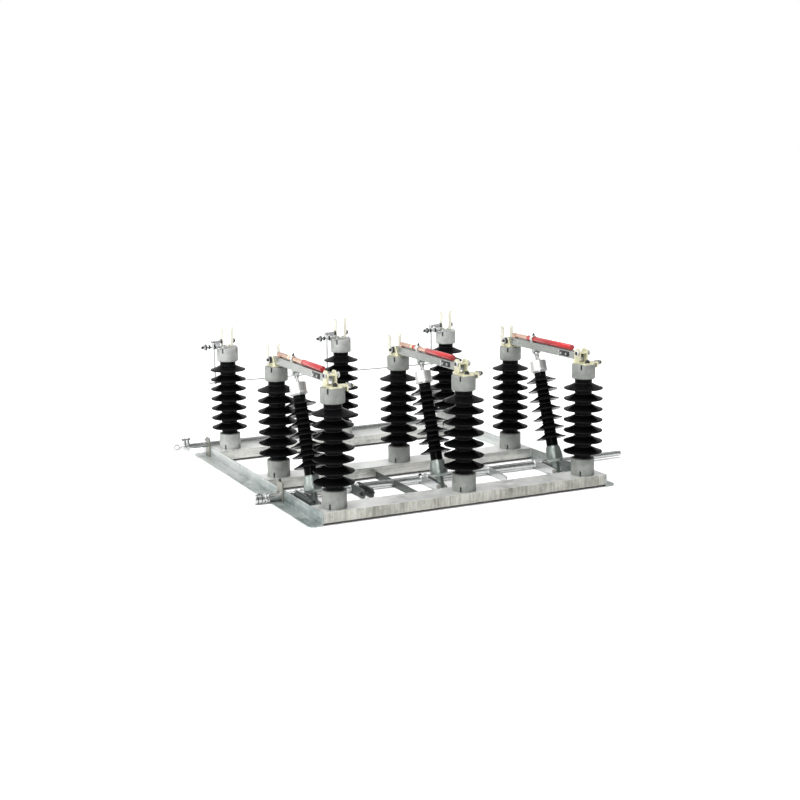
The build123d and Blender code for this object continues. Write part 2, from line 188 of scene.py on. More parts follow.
# ---- finishes ---------------------------------------------------------------
class Nodes:
    """A node tree, with short ways to add its nodes and fill their inputs."""

    def __init__(self, tree: bpy.types.NodeTree) -> None:
        """Takes up a tree."""
        self.tree = tree

    def feed(self, socket: Socket, value: object) -> None:
        """Links an input to an output, or gives it a constant.

        Args:
            socket: The input.
            value: An output or a constant.
        """
        if isinstance(value, Socket):
            self.tree.links.new(value, socket)
        else:
            socket.default_value = value

    def add(self, kind: str, inputs: dict[str | int, object] | None = None,
            **settings: object) -> bpy.types.Node:
        """Adds a node and fills its inputs.

        Args:
            kind: The node's type, without the word that all the types start with.
            inputs: Outputs or constants, by the input's name or place.
            **settings: Properties to set on the node.

        Returns:
            The node.
        """
        node = self.tree.nodes.new(f"ShaderNode{kind}")
        for key, value in settings.items():
            setattr(node, key, value)
        for key, value in (inputs or {}).items():
            self.feed(node.inputs[key], value)
        return node

    def spread(self, source: Socket, low: float, high: float, start: float = 0.0,
               stop: float = 1.0) -> Socket:
        """Maps a value from one range to another, held at its ends.

        Args:
            source: The value.
            low: Result at start.
            high: Result at stop.
            start: Value that gives low.
            stop: Value that gives high.

        Returns:
            The mapped value.
        """
        return self.add("MapRange", {"Value": source, "From Min": start, "From Max": stop,
                                     "To Min": low, "To Max": high}).outputs["Result"]


class Graph(Nodes):
    """A material's nodes, with a method for each pattern that the finishes use."""

    def __init__(self, name: str) -> None:
        """Starts a material with one surface shader, placed by the object's own coordinates.

        Args:
            name: The material's name.
        """
        self.material = bpy.data.materials.new(name)
        self.material.use_nodes = True
        super().__init__(self.material.node_tree)
        self.place = self.add("TexCoord").outputs["Object"]

    def finished(self, **values: object) -> bpy.types.Material:
        """Fills the surface's own inputs and hands the material over.

        Args:
            **values: Outputs or constants, by the input's name in lower case with underscores.

        Returns:
            The material.
        """
        inputs = self.tree.nodes["Principled BSDF"].inputs
        for key, value in values.items():
            self.feed(inputs[key.replace("_", " ").title().replace("Ior", "IOR")], value)
        return self.material

    def stretched(self, scale: Point, lean: float = 0.0) -> Socket:
        """Object coordinates, turned about X and scaled.

        Args:
            scale: Scale along each axis.
            lean: Turn about X, in radians, before scaling.

        Returns:
            The coordinates.
        """
        turned = self.add("Mapping", {"Vector": self.place, "Rotation": (lean, 0.0, 0.0)}).outputs[0]
        return self.add("Mapping", {"Vector": turned, "Scale": scale}).outputs[0]

    def noise(self, scale: float, detail: float = 4.0, rough: float = 0.6,
              place: Socket | None = None) -> Socket:
        """Fractal noise between 0 and 1.

        Args:
            scale: Features per metre.
            detail: Octaves.
            rough: Weight of the finer octaves.
            place: Coordinates, if not the object's own.

        Returns:
            The noise value.
        """
        return self.add("TexNoise", {"Vector": place or self.place, "Scale": scale, "Detail": detail,
                                     "Roughness": rough}).outputs[0]

    def crystals(self, cell: float) -> tuple[Socket, Socket]:
        """Irregular flat cells with ragged borders, each with a tone of its own.

        Args:
            cell: Width of a cell, in metres.

        Returns:
            The cell's tone and the distance from its middle.
        """
        wander = self.add("TexNoise", {"Vector": self.place, "Scale": 2.5 / cell})
        moved = self.add("VectorMath", {0: wander.outputs["Color"], 1: (0.35 * cell,) * 3, 2: self.place},
                         operation="MULTIPLY_ADD")
        cells = self.add("TexVoronoi", {"Vector": moved.outputs["Vector"], "Scale": 1.0 / cell})
        tone = self.add("SeparateColor", {"Color": cells.outputs["Color"]})
        return tone.outputs["Red"], cells.outputs["Distance"]

    def blend(self, factor: Socket, first: Colour | Socket, second: Colour | Socket) -> Socket:
        """Mixes two colours.

        Args:
            factor: 0 for the first, 1 for the second.
            first: A colour or an output.
            second: A colour or an output.

        Returns:
            The mixed colour.
        """
        colours = [(*c, 1.0) if isinstance(c, tuple) else c for c in (first, second)]
        return self.add("Mix", {0: factor, 6: colours[0], 7: colours[1]}, data_type="RGBA").outputs[2]

    def ramp(self, source: Socket, *stops: tuple[float, Colour]) -> Socket:
        """A colour that runs through stops as a value grows.

        Args:
            source: The value.
            *stops: Positions from 0 to 1, each with its colour.

        Returns:
            The colour.
        """
        node = self.add("ValToRGB", {0: source})
        marks = node.color_ramp.elements
        while len(marks) < len(stops):
            marks.new(0.5)
        for mark, (position, colour) in zip(marks, stops):
            mark.position = position
            mark.color = (*colour, 1.0)
        return node.outputs[0]

    def combine(self, operation: str, *values: Socket | float) -> Socket:
        """The result of one operation on outputs and constants."""
        return self.add("Math", dict(enumerate(values)), operation=operation).outputs[0]

    def sum(self, first: Socket, second: Socket, weight: float) -> Socket:
        """The first value plus the second times a weight."""
        return self.combine("MULTIPLY_ADD", second, weight, first)

    def edge_wear_and_highlight(self, colour: Socket, bare: Colour, radius: float, amount: float) -> Socket:
        """Another colour where the form bends sharply.

        Args:
            colour: The colour on flats.
            bare: The colour on edges.
            radius: How near an edge counts, in metres.
            amount: Share of the other colour on the sharpest edges.

        Returns:
            The colour.
        """
        rounded = self.add("Bevel", {"Radius": radius}, samples=4).outputs["Normal"]
        plain = self.add("NewGeometry").outputs["Normal"]
        bend = self.add("VectorMath", {0: rounded, 1: plain}, operation="DOT_PRODUCT").outputs["Value"]
        return self.blend(self.spread(self.spread(bend, 1.0, 0.0, 0.80, 0.985), 0.0, amount), colour, bare)

    def share(self, axis: str) -> Socket:
        """How far along the piece's own box the surface lies: 0 at its low end and 1 at its high end."""
        return self.add("SeparateXYZ", {0: self.add("TexCoord").outputs["Generated"]}).outputs[axis]

    def upward(self) -> Socket:
        """How far the surface faces the sky: 0 on sides and undersides, 1 on tops."""
        normal = self.add("SeparateXYZ", {0: self.add("NewGeometry").outputs["Normal"]})
        return self.spread(normal.outputs["Z"], 0.0, 1.0, 0.2, 1.0)

    def relief(self, height: Socket, depth: float, strength: float) -> Socket:
        """Fine relief for the surface's normal.

        Args:
            height: Relief between 0 and 1.
            depth: Its real depth, in metres.
            strength: Share of it that shows.

        Returns:
            The normal.
        """
        return self.add("Bump", {"Height": height, "Distance": depth, "Strength": strength}).outputs["Normal"]


@dataclass(frozen=True)
class Finish:
    """What every finish has.

    Args:
        name: The material's name.
        slot: The record's slot that it belongs to; not used.
    """

    name: str
    slot: str

    def build(self) -> bpy.types.Material:
        """Builds the material."""
        raise NotImplementedError


@dataclass(frozen=True)
class Galvanised(Finish):
    """Hot-dip zinc: crystal spangle, run marks along the dip, and rubbed edges that also carry a painted
    highlight; it can also paint light on the rear end and on faces that look up.

    Args:
        light: Colour of the palest spangle.
        middle: Colour between.
        dark: Colour of the darkest.
        cell: Width of a crystal.
        grain: How the run marks are stretched.
        rear_light: How much paler the rear end is than the front, as painted light.
        runs: Weight of the run marks.
        top: Share of a pale colour painted on faces that look up, as painted light from above.
        rim: Width of the paler edges, which are rubbed wear and a painted highlight.
    """

    light: Colour = (0.50, 0.52, 0.51)
    middle: Colour = (0.31, 0.345, 0.335)
    dark: Colour = (0.13, 0.18, 0.18)
    cell: float = 0.016
    grain: Point = (150.0, 5.0, 150.0)
    rear_light: float = 0.0
    runs: float = 0.42
    top: float = 0.0
    rim: float = 0.0016

    def build(self) -> bpy.types.Material:
        """Builds the material.

        Returns:
            The material.
        """
        graph = Graph(self.name)
        tone, distance = graph.crystals(self.cell)
        cloud = graph.noise(5.0)
        runs = graph.noise(1.0, rough=0.65, place=graph.stretched(self.grain))
        mixed = graph.sum(graph.spread(cloud, 0.02, 0.40, 0.35, 0.65), tone, 0.22)
        mixed = graph.sum(mixed, graph.spread(runs, 0.0, 1.0, 0.30, 0.70), self.runs)
        # Painted light: the rear end is painted paler and the front darker, as if lit unevenly.
        if self.rear_light:
            mixed = graph.sum(mixed, graph.spread(graph.share("Y"), -0.5, 1.0, 0.0, 0.75), self.rear_light)
        colour = graph.ramp(mixed, (0.12, self.dark), (0.48, self.middle), (0.85, self.light))
        # Painted light: faces that look up are blended towards a pale colour, as if lit from above.
        if self.top:
            bright = graph.spread(graph.upward(), 0.0, self.top, 0.5, 0.9)
            colour = graph.blend(bright, colour, (0.90, 0.91, 0.90))
        relief = graph.sum(distance, graph.noise(420.0, detail=3.0), 0.5)
        # The paler edges are rubbed wear and a painted highlight along them.
        return graph.finished(
            base_color=graph.edge_wear_and_highlight(colour, (0.80, 0.81, 0.79), self.rim, amount=0.75),
            roughness=graph.spread(tone, 0.30, 0.50), metallic=0.75,
            normal=graph.relief(relief, depth=0.00035, strength=0.5))


@dataclass(frozen=True)
class Rubber(Finish):
    """Moulded rubber with paler rims, partly wear and partly a painted highlight, and a trace of dust on top.

    Args:
        colour: Its own colour.
        dusty: Its colour under dust.
        edge_wear_and_highlight: Colour of its rims, wear and a painted highlight.
    """

    colour: Colour = (0.003, 0.003, 0.0034)
    dusty: Colour = (0.006, 0.006, 0.0064)
    edge_wear_and_highlight: Colour = (0.050, 0.051, 0.053)

    def build(self) -> bpy.types.Material:
        """Builds the material.

        Returns:
            The material.
        """
        graph = Graph(self.name)
        dust = graph.spread(graph.noise(26.0, detail=6.0, rough=0.7), 0.0, 0.5, 0.45, 0.8)
        body = graph.blend(graph.combine("MULTIPLY", dust, graph.upward()), self.colour, self.dusty)
        grain = graph.combine("MULTIPLY", graph.noise(300.0, detail=2.0), 0.15)
        # The rims are painted paler: partly wear, partly a painted highlight.
        return graph.finished(
            base_color=graph.edge_wear_and_highlight(body, self.edge_wear_and_highlight, radius=0.0045, amount=0.8),
            roughness=graph.spread(graph.noise(40.0), 0.14, 0.22), specular_ior_level=0.03,
            normal=graph.relief(grain, depth=0.0003, strength=0.6))


@dataclass(frozen=True)
class Cast(Finish):
    """Satin cast metal: fine grain, faint flow marks and edges rubbed paler.

    Args:
        light: Its palest colour.
        dark: Its darkest.
        roughness: Middle of its roughness.
        metallic: How metallic it is, from 0 to 1.
        grain: Grains per metre.
    """

    light: Colour
    dark: Colour
    roughness: float
    metallic: float
    grain: float = 700.0

    def build(self) -> bpy.types.Material:
        """Builds the material.

        Returns:
            The material.
        """
        graph = Graph(self.name)
        marks = graph.noise(30.0, detail=6.0, rough=0.65)
        fine = graph.noise(self.grain, detail=3.0)
        tone = graph.sum(graph.spread(marks, 0.0, 1.0, 0.3, 0.7), fine, 0.25)
        colour = graph.blend(graph.spread(tone, 0.0, 1.0, 0.0, 1.2), self.dark, self.light)
        rubbed = tuple(min(1.0, 1.25 * part) for part in self.light)
        return graph.finished(
            base_color=graph.edge_wear_and_highlight(colour, rubbed, radius=0.0012, amount=0.6),
            roughness=graph.spread(marks, self.roughness - 0.06, self.roughness + 0.08),
            metallic=self.metallic, normal=graph.relief(fine, depth=0.00025, strength=0.6))


@dataclass(frozen=True)
class Drawn(Finish):
    """Metal drawn, brushed or turned, with fine marks along or round it.

    Args:
        light: Its palest colour.
        dark: Its darkest.
        marks: How the fine marks are stretched.
        roughness: Middle of its roughness.
        stain: Colour of its stains, if it has any.
        lean: Turn of the marks about X, in radians.
        below: Colour of its lower half, if that differs.
    """

    light: Colour
    dark: Colour
    marks: Point
    roughness: float
    stain: Colour | None = None
    lean: float = 0.0
    below: Colour | None = None

    def build(self) -> bpy.types.Material:
        """Builds the material.

        Returns:
            The material.
        """
        graph = Graph(self.name)
        lines = graph.noise(1.0, detail=3.0, rough=0.7, place=graph.stretched(self.marks, self.lean))
        patch = graph.noise(16.0, detail=5.0, rough=0.65)
        tone = graph.sum(graph.spread(lines, 0.0, 0.7, 0.3, 0.7), patch, 0.45)
        colour = graph.blend(graph.spread(tone, 0.0, 1.0, 0.1, 0.95), self.dark, self.light)
        if self.stain:
            colour = graph.blend(graph.spread(patch, 0.0, 0.5, 0.45, 0.70), colour, self.stain)
        if self.below:
            cast = graph.blend(patch, tuple(0.55 * part for part in self.below), self.below)
            colour = graph.blend(graph.spread(graph.share("Z"), 0.0, 1.0, 0.49, 0.50), cast, colour)
        rough = graph.spread(lines, self.roughness - 0.08, self.roughness + 0.10, 0.25, 0.75)
        return graph.finished(base_color=colour, roughness=rough, metallic=0.9,
                              normal=graph.relief(lines, depth=0.00006, strength=0.5))


@dataclass(frozen=True)
class Glazed(Finish):
    """A hard glossy coat over a coloured body with a darker swirl.

    Args:
        colour: Colour of the body.
        deep: Colour of the swirl.
    """

    colour: Colour = (0.44, 0.005, 0.008)
    deep: Colour = (0.24, 0.003, 0.005)

    def build(self) -> bpy.types.Material:
        """Builds the material.

        Returns:
            The material.
        """
        graph = Graph(self.name)
        swirl = graph.noise(1.0, detail=3.0, rough=0.5, place=graph.stretched((60.0, 9.0, 60.0)))
        return graph.finished(
            base_color=graph.blend(graph.spread(swirl, 0.0, 1.0, 0.35, 0.65), self.deep, self.colour),
            roughness=graph.spread(graph.noise(90.0), 0.14, 0.26), coat_weight=0.25, coat_roughness=0.08,
            normal=graph.relief(graph.noise(260.0, detail=2.0), depth=0.0001, strength=0.35))


class Coat(Enum):
    """Every finish on the switch."""

    # FRAME: its rear end is painted paler, as painted light.
    FRAME = Galvanised("hot_dip_zinc_side", "galvanised_steel", rear_light=0.25)
    # CROSS: top paints light on its faces that look up.
    CROSS = Galvanised("hot_dip_zinc_cross", "galvanised_steel", light=(0.64, 0.64, 0.60),
                       middle=(0.45, 0.455, 0.43), dark=(0.20, 0.21, 0.19),
                       grain=(5.0, 150.0, 150.0), top=0.7)
    # RAIL: top paints light on its faces that look up, and its wide rim paints a highlight along its edges.
    RAIL = Galvanised("hot_dip_zinc_warm", "galvanised_cream", light=(0.51, 0.51, 0.465),
                      middle=(0.30, 0.30, 0.27), dark=(0.145, 0.15, 0.125),
                      grain=(110.0, 40.0, 7.0), runs=0.48, top=0.70, rim=0.0034)
    RUBBER = Rubber("silicone_rubber", "black_rubber")
    FITTING = Cast("cast_fitting", "grey_fitting", light=(0.28, 0.29, 0.27), dark=(0.15, 0.16, 0.15),
                   roughness=0.5, metallic=0.3)
    # The rear row's fittings: a paler copy of the fitting finish, as painted light.
    REAR_LIT_FITTING = Cast("rear_lit_cast_fitting", "grey_fitting", light=(0.47, 0.48, 0.46),
                        dark=(0.27, 0.28, 0.27), roughness=0.5, metallic=0.3)
    BELL = Drawn("turned_bell", "bright_fitting", light=(0.72, 0.72, 0.71), dark=(0.50, 0.51, 0.50),
                 marks=(12.0, 12.0, 700.0), roughness=0.34, lean=-0.335, below=(0.31, 0.35, 0.33))
    TIN = Cast("tinned_copper", "tinned_copper", light=(0.72, 0.70, 0.50), dark=(0.48, 0.46, 0.31),
               roughness=0.36, metallic=0.45, grain=500.0)
    CLIP = Cast("bright_tin", "tinned_copper", light=(0.64, 0.63, 0.54), dark=(0.44, 0.43, 0.35),
                roughness=0.36, metallic=0.3, grain=500.0)
    BLADE = Drawn("drawn_channel", "blade_metal", light=(0.43, 0.44, 0.42), dark=(0.23, 0.25, 0.23),
                  marks=(900.0, 24.0, 900.0), roughness=0.30)
    COPPER = Drawn("bare_copper", "copper_rod", light=(0.90, 0.64, 0.52), dark=(0.66, 0.38, 0.28),
                   marks=(800.0, 20.0, 800.0), roughness=0.26, stain=(0.30, 0.16, 0.10))
    SLEEVE = Glazed("red_glaze", "red_sleeve")
    ZINC = Drawn("bright_zinc", "zinc_steel", light=(0.60, 0.61, 0.61), dark=(0.34, 0.35, 0.35),
                 marks=(24.0, 700.0, 700.0), roughness=0.27)
    LEVER = Cast("phosphated_lever", "zinc_steel", light=(0.085, 0.10, 0.092), dark=(0.035, 0.042, 0.038),
                 roughness=0.42, metallic=0.6)
    DARK = Cast("black_oxide", "zinc_steel", light=(0.055, 0.058, 0.058), dark=(0.02, 0.021, 0.022),
                roughness=0.36, metallic=0.75)
    PASSIVE = Cast("yellow_passivated", "zinc_steel", light=(0.25, 0.25, 0.21), dark=(0.12, 0.12, 0.10),
                   roughness=0.38, metallic=0.55)
    WHITE = Cast("white_enamel", "bright_fitting", light=(0.56, 0.56, 0.54), dark=(0.38, 0.38, 0.36),
                 roughness=0.28, metallic=0.0)


@dataclass
class Workshop:
    """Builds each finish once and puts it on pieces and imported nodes.

    Args:
        merge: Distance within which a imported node's points are joined.
        flat: Angle within which its faces count as one, in degrees.
        sharp: Angle past which its edges are rounded, in degrees.
        materials: The materials built so far.
    """

    merge: float = 0.00001
    flat: float = 0.4
    sharp: float = 32.0
    materials: dict[Coat, bpy.types.Material] = field(default_factory=dict)

    def material(self, coat: Coat) -> bpy.types.Material:
        """The material of a coat, built at its first use.

        Args:
            coat: The coat.

        Returns:
            The material.
        """
        if coat not in self.materials:
            self.materials[coat] = coat.value.build()
        return self.materials[coat]

    def dress(self, node: str, coat: Coat, edge: float) -> None:
        """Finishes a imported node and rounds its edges.

        Args:
            node: The node's name.
            coat: Its finish.
            edge: Width of the rounded edges.
        """
        piece = frame["nodes"][node]
        piece.data.materials.clear()
        piece.data.materials.append(self.material(coat))
        if not edge:
            return
        weld = piece.modifiers.new("weld", "WELD")
        weld.merge_threshold = self.merge
        flat = piece.modifiers.new("flatten", "DECIMATE")
        flat.decimate_type = "DISSOLVE"
        flat.angle_limit = math.radians(self.flat)
        bevel = piece.modifiers.new("edges", "BEVEL")
        bevel.width = edge
        bevel.segments = 2
        bevel.limit_method = "ANGLE"
        bevel.angle_limit = math.radians(self.sharp)
        bevel.harden_normals = False


# ---- shapes -----------------------------------------------------------------
class Shape:
    """A mesh under construction, gathered from turned, prismatic and bent forms."""

    def __init__(self) -> None:
        """Starts empty."""
        self.mesh = bmesh.new()

    def loft(self, rings: Sequence[Sequence[Vector]], capped: bool = True) -> None:
        """Skins a row of closed rings that have the same number of points.

        Args:
            rings: The rings, from one end to the other.
            capped: Whether flat faces close both ends.
        """
        rows = [[self.mesh.verts.new(point) for point in ring] for ring in rings]
        for low, high in zip(rows, rows[1:]):
            for i, corner in enumerate(low):
                j = (i + 1) % len(low)
                self.mesh.faces.new((corner, low[j], high[j], high[i]))
        if capped:
            self.mesh.faces.new(rows[0][::-1])
            self.mesh.faces.new(rows[-1])

    def turn(self, place: Matrix, outline: Outline, sides: int = 40, closed: bool = False) -> None:
        """Turns an outline about a placement's Z.

        Args:
            place: The placement.
            outline: Points as radius and height.
            sides: Facets round the axis.
            closed: Whether the outline's end joins its start, as on a ring.
        """
        points = [*outline, outline[0]] if closed else outline
        angles = whole_turn(sides)
        self.loft([[place @ Vector((r * math.cos(a), r * math.sin(a), z)) for a in angles]
                   for r, z in points], capped=False)

    def disc(self, place: Matrix, radius: float, height: float, edge: float = 0.0005,
             bore: float = 0.0) -> None:
        """A disc, collar or washer with softened rims.

        Args:
            place: Placement of its foot.
            radius: Outer radius.
            height: Thickness.
            edge: Width of the softened rims.
            bore: Radius of its hole, if it has one.
        """
        outer = [(radius - edge, 0.0), (radius, edge), (radius, height - edge), (radius - edge, height)]
        self.turn(place, [(bore, 0.0), *outer, (bore, height)], closed=bool(bore))

    def hexagon(self, place: Matrix, flats: float, height: float) -> None:
        """A hexagon head or nut, its corners turned down at the top.

        Args:
            place: Placement of its foot.
            flats: Width across flats.
            height: Height.
        """
        crown = 0.475 * flats
        fall = math.tan(math.radians(30.0))

        def ring(level: Callable[[float], tuple[float, float]]) -> list[Vector]:
            """One ring of points round the hexagon.

            Args:
                level: Gives a point's radius and height from the hexagon's own radius there.

            Returns:
                The points.
            """
            points = [(a, *level(flats / 2 / math.cos(a % (math.pi / 3) - math.pi / 6)))
                      for a in whole_turn(36)]
            return [place @ Vector((r * math.cos(a), r * math.sin(a), z)) for a, r, z in points]

        self.loft([
            ring(lambda r: (0.0, 0.0)),
            ring(lambda r: (r, 0.0)),
            ring(lambda r: (r, height - (r - crown) * fall)),
            ring(lambda r: (crown, height)),
            ring(lambda r: (0.0, height)),
        ], capped=False)

    def thread(self, place: Matrix, radius: float, length: float, pitch: float = 0.0015) -> None:
        """A threaded stud with a pointed end.

        Args:
            place: Placement of its foot.
            radius: Crest radius.
            length: Length.
            pitch: Distance between crests.
        """
        outline = [(0.0, 0.0)]
        for i in range(max(1, round((length - pitch) / pitch))):
            outline += [(radius, (i + 0.3) * pitch), (radius - 0.55 * pitch, (i + 0.8) * pitch)]
        outline += [(radius * 0.75, length), (0.0, length)]
        self.turn(place, outline, sides=20)

    def nut(self, place: Matrix, thread: float, tip: float) -> None:
        """A washer, a nut and the end of its stud.

        Args:
            place: Placement of the washer's foot.
            thread: Thread diameter.
            tip: Length of thread past the nut.
        """
        base = 0.2 * thread
        self.disc(place, radius=1.05 * thread, height=base, edge=0.0003)
        self.hexagon(raised(place, base), flats=1.62 * thread, height=0.8 * thread)
        if tip:
            self.thread(raised(place, base + 0.78 * thread), radius=thread / 2, length=tip)

    def tube(self, points: Sequence[Vector], radius: float | Callable[[float], float],
             sides: int = 10, closed: bool = False) -> None:
        """Round wire along points.

        Args:
            points: The wire's centre line.
            radius: Its radius, or a function of the share of the length.
            sides: Facets round the wire.
            closed: Whether the end joins the start.
        """
        count = len(points)
        normal = None
        rings = []
        for i, point in enumerate(points):
            before = points[i - 1] if i or closed else point
            after = points[(i + 1) % count] if i + 1 < count or closed else point
            along = (after - before).normalized()
            if normal is None:
                normal = along.orthogonal().normalized()
            normal = (normal - along * normal.dot(along)).normalized()
            across = along.cross(normal)
            size = radius(i / (count - 1)) if callable(radius) else radius
            rings.append([point + size * (math.cos(a) * normal + math.sin(a) * across)
                          for a in whole_turn(sides)])
        if closed:
            rings.append(rings[0])
        self.loft(rings, capped=not closed)

    def slab(self, centre: Sequence[float], size: Sequence[float], edge: float = 0.0006) -> None:
        """A block with rounded edges.

        Args:
            centre: Its middle.
            size: Its three sides.
            edge: Radius of its edges.
        """
        block = bmesh.new()
        place = Matrix.Translation(Vector(centre)) @ Matrix.Diagonal((*size, 1.0))
        bmesh.ops.create_cube(block, size=1.0, matrix=place)
        bmesh.ops.bevel(block, geom=block.edges[:], offset=edge, segments=2, profile=0.5, affect="EDGES")
        corners = {corner: self.mesh.verts.new(corner.co) for corner in block.verts}
        for face in block.faces:
            self.mesh.faces.new([corners[corner] for corner in face.verts])
        block.free()

    def plate(self, place: Matrix, corners: Outline, thickness: float, edge: float) -> None:
        """A flat plate with softened rims, standing on a placement.

        Args:
            place: The placement; the outline lies in its XY plane.
            corners: The outline, anticlockwise.
            thickness: Thickness along the placement's Z.
            edge: Width of the softened rims.
        """
        middle_x = sum(x for x, _ in corners) / len(corners)
        middle_y = sum(y for _, y in corners) / len(corners)
        reach = max(math.hypot(x - middle_x, y - middle_y) for x, y in corners)
        inset = 1.0 - edge / reach

        def level(z: float, share: float) -> list[Vector]:
            """The outline at one height, drawn in towards its middle by a share."""
            return [place @ Vector((middle_x + (x - middle_x) * share, middle_y + (y - middle_y) * share, z))
                    for x, y in corners]

        self.loft([level(0.0, inset), level(edge, 1.0), level(thickness - edge, 1.0),
                   level(thickness, inset)])

    def coil(self, place: Matrix, radius: float, wire: float, length: float, turns: float) -> None:
        """A helical spring.

        Args:
            place: Placement of its foot; the coil climbs its Z.
            radius: Radius to the wire's middle.
            wire: Radius of the wire.
            length: Length between the ends.
            turns: Number of turns.
        """
        steps = int(turns * 20)
        path = []
        for i in range(steps + 1):
            angle = 2 * math.pi * turns * i / steps
            path.append(place @ Vector((radius * math.cos(angle), radius * math.sin(angle),
                                        length * i / steps)))
        self.tube(path, wire, sides=8)

    def bead(self, start: Sequence[float], stop: Sequence[float], radius: float) -> None:
        """A weld bead with overlapping ripples.

        Args:
            start: One end.
            stop: The other end.
            radius: Radius of the bead.
        """
        first = Vector(start)
        last = Vector(stop)
        ripples = max(2, round((last - first).length / (radius * 1.3)))
        steps = ripples * 6

        def swell(share: float) -> float:
            """Radius of the bead at a share of its length."""
            return radius * (0.8 + 0.2 * abs(math.sin(math.pi * ripples * share)))

        self.tube([first.lerp(last, i / steps) for i in range(steps + 1)], swell, sides=10)

    def split_pin(self, place: Matrix, reach: float, wire: float) -> None:
        """A split pin through a shaft end.

        Args:
            place: Placement at the shaft's middle; the pin lies along its X.
            reach: Half the pin's length.
            wire: Radius of its wire.
        """
        eye = 0.003
        apart = 0.001
        splayed = (reach + 0.005, 0.0035)
        legs = [(-reach, apart), (reach, apart), splayed]
        path = legs[::-1] + arc((-reach - eye, 0.0), eye, 20.0, 340.0, 14) + [(x, -y) for x, y in legs]
        self.tube([place @ Vector((x, y, 0.0)) for x, y in path], wire, sides=8)


@dataclass(frozen=True)
class Fixing:
    """One piece on a fastener's axis.

    Args:
        form: What builds it: a shape's disc, hexagon or thread.
        at: Distance of its foot along the axis.
        size: Its radius, or a hexagon's width across flats.
        height: Its height.
        dark: Whether it is black rather than bright.
    """

    form: Callable[[Shape, Matrix, float, float], None]
    at: float
    size: float
    height: float
    dark: bool = False


Stack = tuple[Fixing, ...]


def fit(place: Matrix, stack: Stack, bright: Shape, dark: Shape | None = None) -> None:
    """Sets a stack of fixings on a placement's axis.

    Args:
        place: The placement.
        stack: The fixings.
        bright: The shape that takes the bright ones.
        dark: The shape that takes the black ones, if there are any.
    """
    for fixing in stack:
        shape = dark if fixing.dark else bright
        fixing.form(shape, raised(place, fixing.at), fixing.size, fixing.height)


@dataclass
class SubAssembly:
    """What every sub-assembly shares.

    Args:
        layout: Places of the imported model.
        shop: Where its finishes come from.
        made: Names of what it has built or dressed.
    """

    layout: Layout
    shop: Workshop
    made: list[str] = field(default_factory=list)

    def build(self) -> None:
        """Builds and dresses the sub-assembly."""
        raise NotImplementedError

    def dress(self, node: str, coat: Coat, edge: float = 0.0007) -> None:
        """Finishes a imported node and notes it."""
        self.shop.dress(node, coat, edge)
        self.made.append(node)

    def keep(self, shape: Shape, name: str, coat: Coat, body: str = "frame",
             origin: Sequence[float] = (0.0, 0.0, 0.0), crease: float = 35.0) -> bpy.types.Object:
        """Turns a shape into a finished piece that rides on a body.

        Args:
            shape: The shape.
            name: The piece's name.
            coat: Its finish.
            body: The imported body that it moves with.
            origin: The piece's own origin, which its finish is placed by.
            crease: Edges sharper than this, in degrees, stay sharp.

        Returns:
            The piece.
        """
        bmesh.ops.remove_doubles(shape.mesh, verts=shape.mesh.verts, dist=0.000002)
        bmesh.ops.recalc_face_normals(shape.mesh, faces=shape.mesh.faces)
        bmesh.ops.translate(shape.mesh, verts=shape.mesh.verts, vec=-Vector(origin))
        data = bpy.data.meshes.new(name)
        shape.mesh.to_mesh(data)
        shape.mesh.free()
        data.shade_smooth()
        data.set_sharp_from_angle(angle=math.radians(crease))
        data.materials.append(self.shop.material(coat))
        piece = bpy.data.objects.new(name, data)
        piece.location = origin
        bpy.context.scene.collection.objects.link(piece)
        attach(piece, body)
        self.made.append(name)
        return piece


@dataclass(frozen=True)
class CrossPin:
    """A headed pin through two cheeks, held by a washer and a split pin.

    Args:
        pin: Radius of the pin.
        head: Radius of its head and of its washer.
        head_height: Height of its head.
        washer: Thickness of its washer.
        end: How far it stands out at the washer.
        split: How far out the split pin goes through it.
        split_reach: Half the split pin's length.
        split_wire: Radius of the split pin's wire.
        edge: Width of the head's softened rims.
        end_edge: Width of the end's softened rims.
    """

    pin: float
    head: float
    head_height: float
    washer: float
    end: float
    split: float
    split_reach: float
    split_wire: float
    edge: float
    end_edge: float

    def place(self, shape: Shape, x: float, at: tuple[float, float], half: float) -> None:
        """Sets the pin with its head on the left.

        Args:
            shape: The shape that takes it.
            x: X of the middle between the cheeks.
            at: Y and Z of its axis.
            half: Distance from the middle to the cheeks' outer faces.
        """
        shape.disc(outward((x - half, *at), Side.LEFT), self.head, self.head_height, self.edge)
        right = outward((x + half, *at), Side.RIGHT)
        shape.disc(right, self.head, self.washer, self.edge / 2)
        shape.disc(right, self.pin, self.end, self.end_edge)
        shape.split_pin(raised(right, self.split), self.split_reach, self.split_wire)


